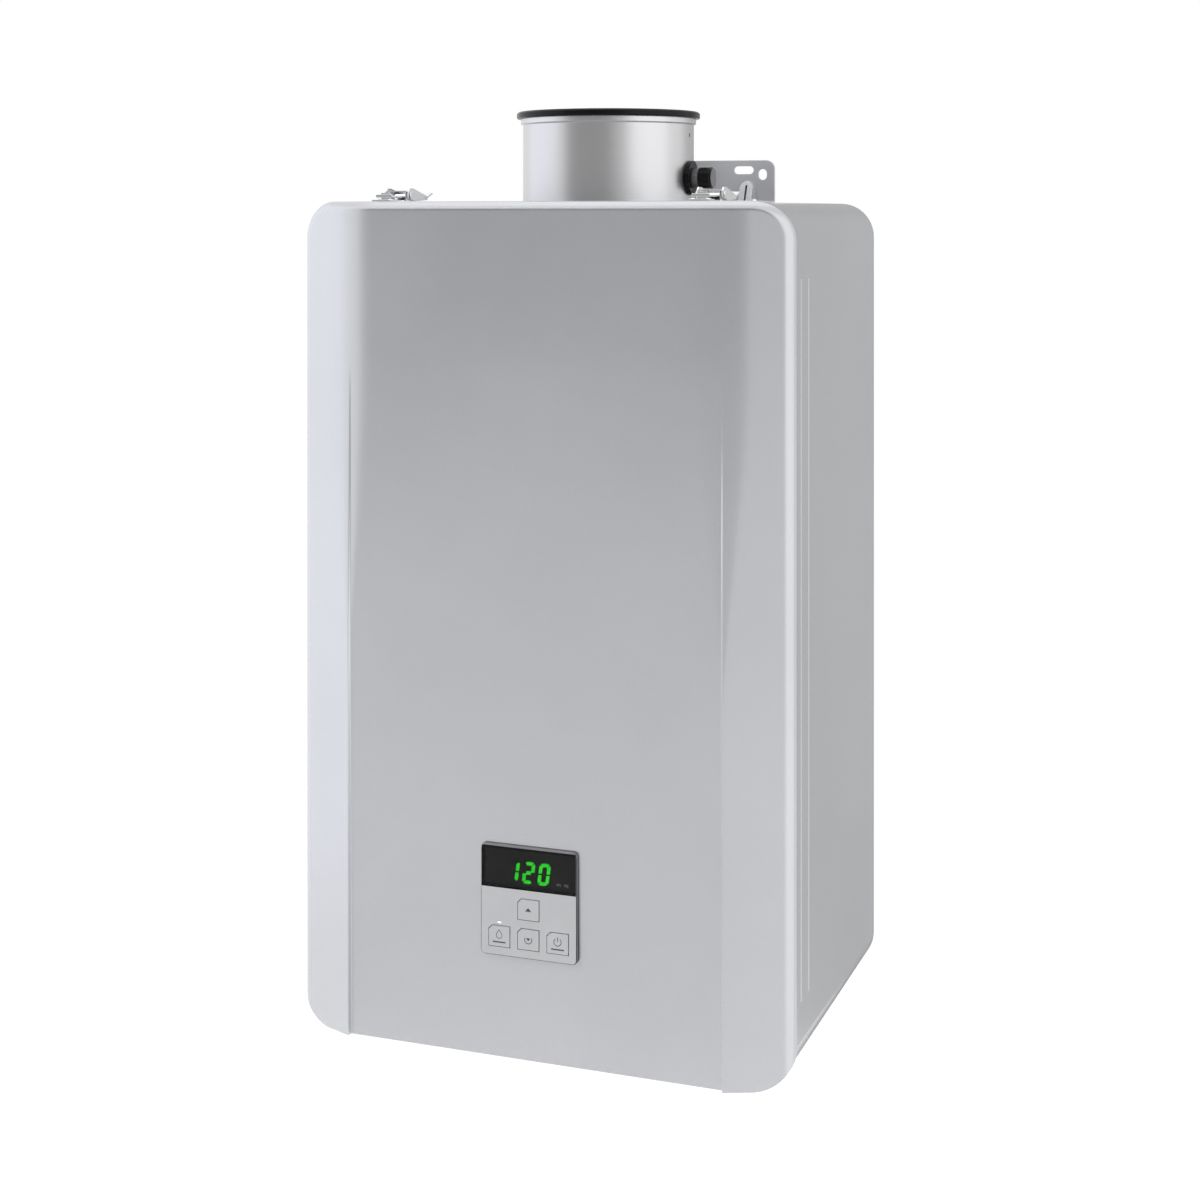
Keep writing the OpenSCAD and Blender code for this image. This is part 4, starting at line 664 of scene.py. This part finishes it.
def on_panel_rim(edge):
    """Whether an edge lies on the panel's outline, in front of the cover."""
    x, y, z = (edge.verts[0].co + edge.verts[1].co) / (2 * MM)
    from_side = max(abs(x) - PANEL_W / 2 + PANEL_CORNER, 0)
    from_end = max(abs(z - PANEL_ZC) - PANEL_H / 2 + PANEL_CORNER, 0)
    return y < PANEL_BACK - 0.5 and math.hypot(from_side, from_end) > PANEL_CORNER - 0.05


def panel_bezel():
    """Frame whose recess takes in the window's seat."""
    low = (-RECESS_HALF_W, PANEL_FRONT - 1, RECESS_LOW)
    high = (RECESS_HALF_W, DISPLAY_Y + 0.6, RECESS_HIGH)
    bm = carved(cad_copy("panel_bezel"), low, high)
    round_edges(bm, 0.4, 3, [e for e in sharp_edges(bm, 40) if on_panel_rim(e)])
    round_edges(bm, 0.15, 2, sharp_edges(bm, 40))
    bezel = add_piece("bezel_soft", bm, "bezel_plastic_and_shade", "heater", ["panel_bezel"])
    for finish in ("grey_plastic", "black_plastic", "seal_rubber"):
        bezel.data.materials.append(finishes[finish])
    for face in bezel.data.polygons:
        x, y, z = face.center / MM
        in_recess = abs(x) < RECESS_HALF_W + 0.1 and RECESS_LOW - 0.1 < z < RECESS_HIGH + 0.1
        edge_shadow_faces = y < PANEL_FRONT + 0.4 and z < RECESS_HIGH - 1.5 and math.hypot(x - LAMP_X, z - LAMP_Z) > 1.6
        if abs(y - PANEL_FRONT) < 0.02:
            face.material_index = 1
        # The recess walls are painted black, standing for the shade inside the display's recess
        elif in_recess:
            face.material_index = 2
        # Thin rounded faces at the panel's front edges and holes are painted near-black: a painted shadow
        # line
        elif edge_shadow_faces:
            face.material_index = 3


def flat_box(left, low, right, high, front, back):
    """Box between two depths."""
    bm = bmesh.new()
    add_prism(bm, [(left, low), (right, low), (right, high), (left, high)], front, back)
    bm.normal_update()
    return bm


def window_pane():
    """Clear pane with a little room in its recess."""
    half, low, high = RECESS_HALF_W - 0.1, RECESS_LOW + 0.1, RECESS_HIGH - 0.1
    return round_edges(flat_box(-half, low, half, high, PANE_FRONT, PANE_BACK), 0.1)


def display_plate():
    """Dark face behind the window that carries the digits."""
    left, right = 1.8 - RECESS_HALF_W, RECESS_HALF_W - 0.2
    return flat_box(left, RECESS_LOW + 1.3, right, RECESS_HIGH - 1.6, DISPLAY_Y - 0.1, DISPLAY_Y - 0.02)


def lamp_highlight_spot():
    """Glowing oval on the lamp's lens: partly the lamp's own light, partly a painted highlight."""
    turns = spread(0, 2 * math.pi, 33)[:-1]
    bm = bmesh.new()
    oval = [(LAMP_X + 1.3 * LAMP_R * math.cos(t), LAMP_Z + 0.7 * LAMP_R * math.sin(t)) for t in turns]
    add_prism(bm, oval, PANEL_FRONT - 0.03, PANEL_FRONT + 0.2)
    return bm


def panel_shadow_line():
    """Thin dark ring round the panel: a painted shadow line where the panel meets the cover."""
    loops = []
    front, back = PANEL_BACK - 0.2, PANEL_BACK + 0.7
    for y, grow in ((front, 0.2), (back, 0.2), (back, -1), (front, -1)):
        w, h, r = PANEL_W / 2 + grow, PANEL_H / 2 + grow, PANEL_CORNER + grow
        corners = ((w - r, h - r, 0), (r - w, h - r, 90), (r - w, r - h, 180), (w - r, r - h, 270))
        outline = [p for x, z, start in corners for p in arc(x, PANEL_ZC + z, r, start, start + 90, 8)]
        loops.append([(x, y, z) for x, z in outline + outline[:1]])
    bm = bmesh.new()
    add_patch(bm, loops + loops[:1])
    return weld(bm)


panel_bezel()
add_piece("window_pane", window_pane(), "smoked_window", replaced=["display_window"])
add_piece("lamp_lens", softened("indicator_lens", 0.1), "grey_plastic", "heater", ["indicator_lens"])
# The lamp's flattened glowing oval is partly a painted highlight on its lens
add_piece("lamp_highlight_spot", lamp_highlight_spot(), "lamp_highlight_glow")
add_piece("display_plate", display_plate(), "display_plastic")
# The dark ring round the panel is painted shadow where the panel meets the cover
add_piece("panel_shadow_line", panel_shadow_line(), "seal_rubber")
for key in KEYS:
    node_name = "button_" + key
    add_piece(node_name + "_soft", softened(node_name, 0.12), "grey_plastic", key + "_key", [node_name])


def add_stroke(bm, path, width, y_front, y_back, lean=0.0, middle=(0, 0)):
    """Raised line of even width along a path."""
    sides = ([], [])
    for i, (x, z) in enumerate(path):
        before, after = Vector(path[max(i - 1, 0)]), Vector(path[min(i + 1, len(path) - 1)])
        along = (after - before).normalized()
        for side, sign in zip(sides, (1, -1)):
            side.append((x - sign * along.y * width / 2, z + sign * along.x * width / 2))
    outline = sides[0] + sides[1][::-1]
    placed = [(x + lean * z + middle[0], z + middle[1]) for x, z in outline]
    add_prism(bm, placed, y_front, y_back)


def lit_digits():
    """Three leaning digits of seven bars with rounded corners."""
    w, h, r, gap, width = DIGIT_H * 0.197, DIGIT_H / 2 - 1.1, 1.9, 0.6, 2.3
    bars = {
        "top": arc(r - w, h - r, r, 129, 90, 5) + arc(w - r, h - r, r, 90, 51, 5),
        "right_upper": arc(w - r, h - r, r, 39, 0, 5) + [(w, gap)],
        "right_lower": [(w, -gap)] + arc(w - r, r - h, r, 0, -39, 5),
        "bottom": arc(w - r, r - h, r, -51, -90, 5) + arc(r - w, r - h, r, -90, -129, 5),
        "left_lower": arc(r - w, r - h, r, -141, -180, 5) + [(-w, -gap)],
        "left_upper": [(-w, gap)] + arc(r - w, h - r, r, 180, 141, 5),
        "middle": [(1.25 - w, 0), (w - 1.25, 0)],
    }
    shown = (
        ("right_upper", "right_lower"),
        ("top", "right_upper", "middle", "left_lower", "bottom"),
        ("top", "right_upper", "right_lower", "bottom", "left_lower", "left_upper"),
    )
    bm = bmesh.new()
    for i, lit in enumerate(shown):
        middle = DIGIT_RIGHT + (i - 1) * DIGIT_H * 0.76, WINDOW_ZC - DIGIT_DROP
        for bar in lit:
            add_stroke(bm, bars[bar], width, DISPLAY_Y - DIGIT_T, DISPLAY_Y, 0.14, middle)
    return bm


def display_marks():
    """Two small unlit signs beside the digits."""
    bm = bmesh.new()
    front, back = DISPLAY_Y - 0.18, DISPLAY_Y - 0.05
    for x in (20.4, 25.8):
        add_stroke(bm, arc(x, WINDOW_ZC - 7.4, 0.7, 0, 330, 16), 0.4, front, back)
        add_stroke(bm, [(x + 1.6, WINDOW_ZC - 8.8), (x + 1.6, WINDOW_ZC - 6.6)], 0.5, front, back)
    return bm


add_piece("lit_digits", lit_digits(), "green_light", replaced=["display_segments"])
add_piece("display_marks", display_marks(), "mark_ink")


def key_sign(key):
    """Plain sign printed on a key."""
    bm = bmesh.new()
    x, z = KEYS[key]
    front, back = KEY_FACE - 0.02, KEY_FACE + 0.1
    if key == "up":
        add_prism(bm, [(x - 2.3, z - 1), (x + 2.3, z - 1), (x, z + 1.4)], front, back)
    if key == "down":
        add_prism(bm, [(x - 1.5, z + 1.1), (x, z - 0.9), (x + 1.5, z + 1.1)], front, back)
        add_stroke(bm, arc(x, z, 2.6, 150, 390, 24), 0.5, front, back)
    if key == "power":
        add_stroke(bm, arc(x, z + 1.1, 2.6, -230, 50, 28), 0.5, front, back)
        add_stroke(bm, [(x, z + 1.2), (x, z + 4.3)], 0.5, front, back)
        add_stroke(bm, [(x - 4.6, z - 3.9), (x + 4.6, z - 3.9)], 0.9, front, back)
    if key == "priority":
        drop = [(x, z + 4.4)] + arc(x, z + 0.6, 2.1, 25, -205, 18) + [(x, z + 4.4)]
        add_stroke(bm, drop, 0.4, front, back)
        add_stroke(bm, [(x - 4.6, z - 3.9), (x + 4.6, z - 3.9)], 0.9, front, back)
    return bm


for key in KEYS:
    add_piece(f"sign_{key}", key_sign(key), "key_ink", key + "_key")


# Fasteners
def add_screw(bm, place, length):
    """Pan-head screw with a cross recess, its head above the place."""
    steps, reach = 48, spread(0, SCREW_HEAD_R, 12)

    def top(r, turn):
        dome = SCREW_HEAD_H * (1 - 0.42 * (r / SCREW_HEAD_R) ** 2)
        x, y = abs(r * math.cos(turn)), abs(r * math.sin(turn))
        return dome - 1.1 * max(cross_arm(x, y), cross_arm(y, x))

    def cross_arm(along, across):
        return ease((0.75 - across) / 0.35) * ease((2.3 - along) / 0.5)

    turns = [2 * math.pi * (i + 0.5) / steps for i in range(steps)]
    rings = []
    for r in reach:
        rings.append([Vector((r * math.cos(t), r * math.sin(t), top(r, t))) for t in turns])
    for r, z in ((SCREW_HEAD_R, 0), (SCREW_R, 0), (SCREW_R, -length), (0, -length)):
        rings.append([Vector((r * math.cos(t), r * math.sin(t), z)) for t in turns])
    add_patch(bm, [[place @ p for p in ring + ring[:1]] for ring in rings])


def screws():
    """Screws of the top bracket's foot, the brackets on the back, and the collar's flange."""
    bm = bmesh.new()
    back_places = [(x, CASE_TOP - HIGH_SCREW_DROP) for x in HIGH_SCREW_X]
    back_places += [(x, CASE_BOT + LOW_SCREW_RISE) for x in LOW_SCREW_X]
    for sign in (-1, 1):
        for x in FOOT_X:
            add_screw(bm, upright(sign * x, FOOT_Y, CASE_TOP + BRACKET_T), FOOT_GRIP)
        for x, z in back_places:
            add_screw(bm, forward(sign * x, PANEL_Y, z), BACK_GRIP)
    for x, y in arc(0, VENT_Y, COLLAR_SCREW_R, 45, 135, 2):
        add_screw(bm, upright(x, y, CASE_TOP + COLLAR_FLANGE_T), COLLAR_GRIP)
    return weld(bm)


def rivets():
    """Two rivets through each catch on the cover and two through each latch base on the case."""
    bm = bmesh.new()
    turns = [math.radians(a) for a in range(0, 85, 12)]
    head = [(RIVET_HEAD * math.sin(t), (RIVET_R + RIVET_HEAD) * math.cos(t)) for t in turns]
    places = []
    for sign in (-1, 1):
        for x in CATCH_RIVET_X:
            places.append((sign * LATCH_X + x, CATCH_Y, COVER_TOP + LATCH_T, CATCH_GRIP))
        for y in BASE_RIVET_Y:
            places.append((sign * LATCH_X, SEAM_Y + y, CASE_TOP + LATCH_T, BASE_GRIP))
    for x, y, z, grip in places:
        rows = [(-grip - RIVET_HEAD, RIVET_R), (0, RIVET_R)] + head
        add_dome(bm, upright(x, y, z), rows)
    return bm


add_piece("screw_set", screws(), "chrome", replaced=["sheet_screws"])
add_piece("rivet_set", rivets(), "chrome", replaced=["latch_rivets"])


# Pipe fittings with cut threads and hexagon flanges
def thread(height, r, fade):
    """Radius by angle of a cut thread at a height."""
    def radius(turn):
        phase = (height / THREAD_PITCH - turn / (2 * math.pi)) % 1
        return r - 1.05 * fade * (1 - abs(2 * phase - 1))
    return radius


def hexagon(r, flat):
    """Radius by angle of a hexagon with its corners turned off."""
    def radius(turn):
        return min(r, flat / math.cos((turn + math.pi / 6) % (math.pi / 3) - math.pi / 6))
    return radius


def add_fitting(bm, x, y, start, top):
    """Pipe fitting from its threaded lower end, with a hexagon under the case and a round nut inside."""
    end = start + THREAD_LEN
    rows = [(start, BORE_R + 0.6), (start, THREAD_R - 1.3)]
    for z in spread(start + 0.4, end - 0.5, 128):
        fade = ease((z - start) / 1.6) * ease((end - z) / 3)
        rows.append((z, thread(z, THREAD_R - 0.9 * (1 - ease((z - start) / 1.4)), fade)))
    flat = BODY_R + HEX_FLAT
    nut_side = hexagon(BODY_R + HEX_GROW, flat)
    rows += [(end, BODY_R - 0.4), (end + 0.4, BODY_R), (HEX_LOW - 0.2, BODY_R), (HEX_LOW, BODY_R + 0.3)]
    rows += [(HEX_LOW, flat - 0.4), (HEX_LOW + 0.7, nut_side), (CASE_BOT - 0.3, nut_side)]
    rows += [(CASE_BOT, flat - 0.2), (CASE_BOT, BODY_R), (INNER_BOT, BODY_R)]
    rows += [(INNER_BOT, NUT_R), (INNER_BOT + NUT_H, NUT_R)]
    rows += [(INNER_BOT + NUT_H, BODY_R), (top, BODY_R), (top, BORE_R), (start + 0.6, BORE_R)]
    add_turned(bm, upright(x, y, 0), rows, 72)


def add_boss(bm, x, y):
    """Drain boss at right angles to a water fitting."""
    rows = [(BORE_R + 1, BOSS_R), (BOSS_LEN - 0.6, BOSS_R), (BOSS_LEN, BOSS_R - 0.6)]
    rows += [(BOSS_LEN, BOSS_BORE + 0.4), (BOSS_LEN - 0.4, BOSS_BORE), (BORE_R + 1, BOSS_BORE)]
    add_turned(bm, forward(x, y, BOSS_Z), rows)


def water_fitting(x):
    """Water connection with its drain boss."""
    bm = bmesh.new()
    add_fitting(bm, x, WATER_Y, WATER_END, FITTING_TOP)
    add_boss(bm, x, WATER_Y)
    return bm


def gas_fitting():
    """Gas connection."""
    bm = bmesh.new()
    add_fitting(bm, GAS_X, GAS_Y, GAS_END, GAS_TOP)
    return bm


add_piece("cold_thread", water_fitting(WATER_X), "brass", replaced=["cold_inlet"], even=False)
add_piece("hot_thread", water_fitting(-WATER_X), "brass", replaced=["hot_outlet"], even=False)
add_piece("gas_thread", gas_fitting(), "brass", replaced=["gas_inlet"], even=False)

for finish, node_names in NODE_FINISH.items():
    for node_name in node_names:
        for material_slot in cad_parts[node_name].material_slots:
            material_slot.material = finishes[finish]


# Studio: white surroundings, pale floor, soft lamps and cards that only reflections see, in metres
FLOOR_Z, FLOOR_HALF = -1.64, 9
LAMP_AIM = (0, -0.15, -0.3)
CARD_Y, CARD_LEFT, CARD_CORNER, CARD_RIGHT = -2.2, -1.65, 1.0, 1.9
CARD_TOP, CARD_LOW, CARD_ROWS = 0.45, -1.6, 10


def stage_plane(name, corners, material):
    """Flat sheet of the studio, not part of the heater."""
    bm = bmesh.new()
    bm.faces.new([bm.verts.new(c) for c in corners])
    mesh = bpy.data.meshes.new(name)
    bm.to_mesh(mesh)
    bm.free()
    mesh.materials.append(material)
    plane = bpy.data.objects.new(name, mesh)
    bpy.context.scene.collection.objects.link(plane)
    return plane


def seen_ray(tree):
    """One for rays from the camera, from gloss and through glass, nought for lighting rays."""
    path = tree.nodes.new("ShaderNodeLightPath")
    total = path.outputs["Is Camera Ray"]
    for name in ("Is Glossy Ray", "Is Transmission Ray"):
        either = tree.nodes.new("ShaderNodeMath")
        either.operation = "MAXIMUM"
        tree.links.new(total, either.inputs[0])
        tree.links.new(path.outputs[name], either.inputs[1])
        total = either.outputs["Value"]
    return total


def strength_by_ray(tree, lighting, seen):
    """Strength with one value for lighting rays and another for rays that see the surface."""
    choice = tree.nodes.new("ShaderNodeMapRange")
    tree.links.new(seen_ray(tree), choice.inputs["Value"])
    choice.inputs["To Min"].default_value = lighting
    choice.inputs["To Max"].default_value = seen
    return choice.outputs["Result"]


def white_world():
    """Surroundings that look white and light the heater softly."""
    world = bpy.data.worlds.new("studio_white")
    world.use_nodes = True
    tree = world.node_tree
    background = tree.nodes["Background"]
    background.inputs["Color"].default_value = (1, 1, 1, 1)
    tree.links.new(strength_by_ray(tree, 0.55, 1.0), background.inputs["Strength"])
    bpy.context.scene.world = world


def floor_finish():
    """Pale floor that looks white but keeps shadows."""
    material = bpy.data.materials.new("studio_floor")
    material.use_nodes = True
    tree = material.node_tree
    shader = tree.nodes["Principled BSDF"]
    shader.inputs["Base Color"].default_value = (0.9, 0.9, 0.9, 1)
    shader.inputs["Roughness"].default_value = 0.9
    shader.inputs["Specular IOR Level"].default_value = 0.0
    shader.inputs["Emission Color"].default_value = (1, 1, 1, 1)
    tree.links.new(strength_by_ray(tree, 0.0, 0.5), shader.inputs["Emission Strength"])
    return material


def card_finish(name, level):
    """Even glow, given as one grey level or as a colour."""
    material = bpy.data.materials.new(name)
    material.use_nodes = True
    tree = material.node_tree
    tree.nodes.remove(tree.nodes["Principled BSDF"])
    glow = tree.nodes.new("ShaderNodeEmission")
    glow.inputs["Color"].default_value = (*(level if isinstance(level, tuple) else [level] * 3), 1)
    tree.links.new(glow.outputs["Emission"], tree.nodes["Material Output"].inputs["Surface"])
    return material


def reflection_card(name, level, corners):
    """Studio card that shows in reflections and nowhere else."""
    card = stage_plane(name, corners, card_finish(name, level))
    card.visible_camera = False
    card.visible_diffuse = False
    card.visible_transmission = False
    card.visible_shadow = False


def standing(start, end, low, high):
    """Corners of an upright card over a line on the ground, in metres."""
    return [(*start, low), (*end, low), (*end, high), (*start, high)]


def front_card(name, level, left, right, low, high):
    """Card in front of the heater."""
    reflection_card(name, level, standing((left, CARD_Y), (right, CARD_Y), low, high))


def front_cards():
    """Cards that are darker above and grow lighter downwards, the corner on the right lightest."""
    front_card("front_card", 0.36, CARD_LEFT, CARD_CORNER, 0, CARD_TOP)
    front_card("high_card", 0.06, CARD_LEFT, CARD_RIGHT, CARD_TOP, 1.05)
    front_card("corner_card", 0.68, CARD_CORNER, CARD_RIGHT, 0, CARD_TOP)
    levels = spread(0, CARD_LOW, CARD_ROWS)
    for row, (top, low) in enumerate(zip(levels, levels[1:])):
        rise = ease((row + 0.8) / 6.5)
        front_card(f"front_row_{row}", 0.365 + 0.435 * rise, CARD_LEFT, CARD_CORNER, low, top)
        front_card(f"corner_row_{row}", 0.70 + 0.25 * rise, CARD_CORNER, CARD_RIGHT, low, top)


def other_cards():
    """Cards beside, behind and above the heater."""
    reflection_card("left_card", (1.22, 1.23, 1.30), standing((-2.1, -1.7), (-2.3, 0.7), -1.2, 1.6))
    reflection_card("right_card", 1.35, standing((2.0, -1.8), (2.4, 0.5), -2.0, 1.6))
    reflection_card("rear_card", 0.585, standing((2.0, 2.2), (0.3, 2.3), -2.0, 2.4))
    reflection_card("rear_left_card", 0.5, standing((0.3, 2.3), (-0.45, 2.4), -0.9, 2.4))
    reflection_card("rear_low_card", 0.32, standing((0.4, 1.7), (-0.8, 1.7), -1.62, -1.0))
    overhead = [(x, y, 1.9) for x, y in ((-1.2, -1.2), (1.2, -1.2), (1.2, 1.0), (-1.2, 1.0))]
    reflection_card("top_card", 1.35, overhead)


def soft_lamp(name, place, size, power):
    """Lamp that points at the heater and lights it without being mirrored in it."""
    lamp = bpy.data.lights.new(name, "AREA")
    lamp.shape = "RECTANGLE"
    lamp.size, lamp.size_y = size
    lamp.energy = power
    holder = bpy.data.objects.new(name, lamp)
    holder.location = place
    holder.visible_glossy = False
    holder.rotation_euler = (Vector(LAMP_AIM) - Vector(place)).to_track_quat("-Z", "Y").to_euler()
    bpy.context.scene.collection.objects.link(holder)


def camera():
    """Level camera with a dropped picture, solved from the photograph's edges."""
    data = bpy.data.cameras.new("photo_camera")
    data.lens = 61.5
    data.sensor_width = 36
    data.shift_y = -0.322
    data.clip_end = 50
    holder = bpy.data.objects.new("photo_camera", data)
    holder.location = (0.51756, -1.52237, -0.03348)
    holder.rotation_euler = (math.pi / 2, 0, math.radians(20.24))
    bpy.context.scene.collection.objects.link(holder)
    bpy.context.scene.camera = holder


white_world()
floor_corners = [(x * FLOOR_HALF, y * FLOOR_HALF, FLOOR_Z) for x, y in ((-1, -1), (1, -1), (1, 1), (-1, 1))]
stage_plane("floor", floor_corners, floor_finish())
front_cards()
other_cards()
soft_lamp("key_lamp", (-1.2, -2.0, 1.6), (1.2, 1.2), 39)
soft_lamp("left_lamp", (-1.8, -0.6, 0.0), (0.9, 1.6), 5)
soft_lamp("right_lamp", (1.9, -0.3, 0.0), (0.9, 1.6), 5)
camera()
bpy.context.scene.view_settings.view_transform = "Standard"
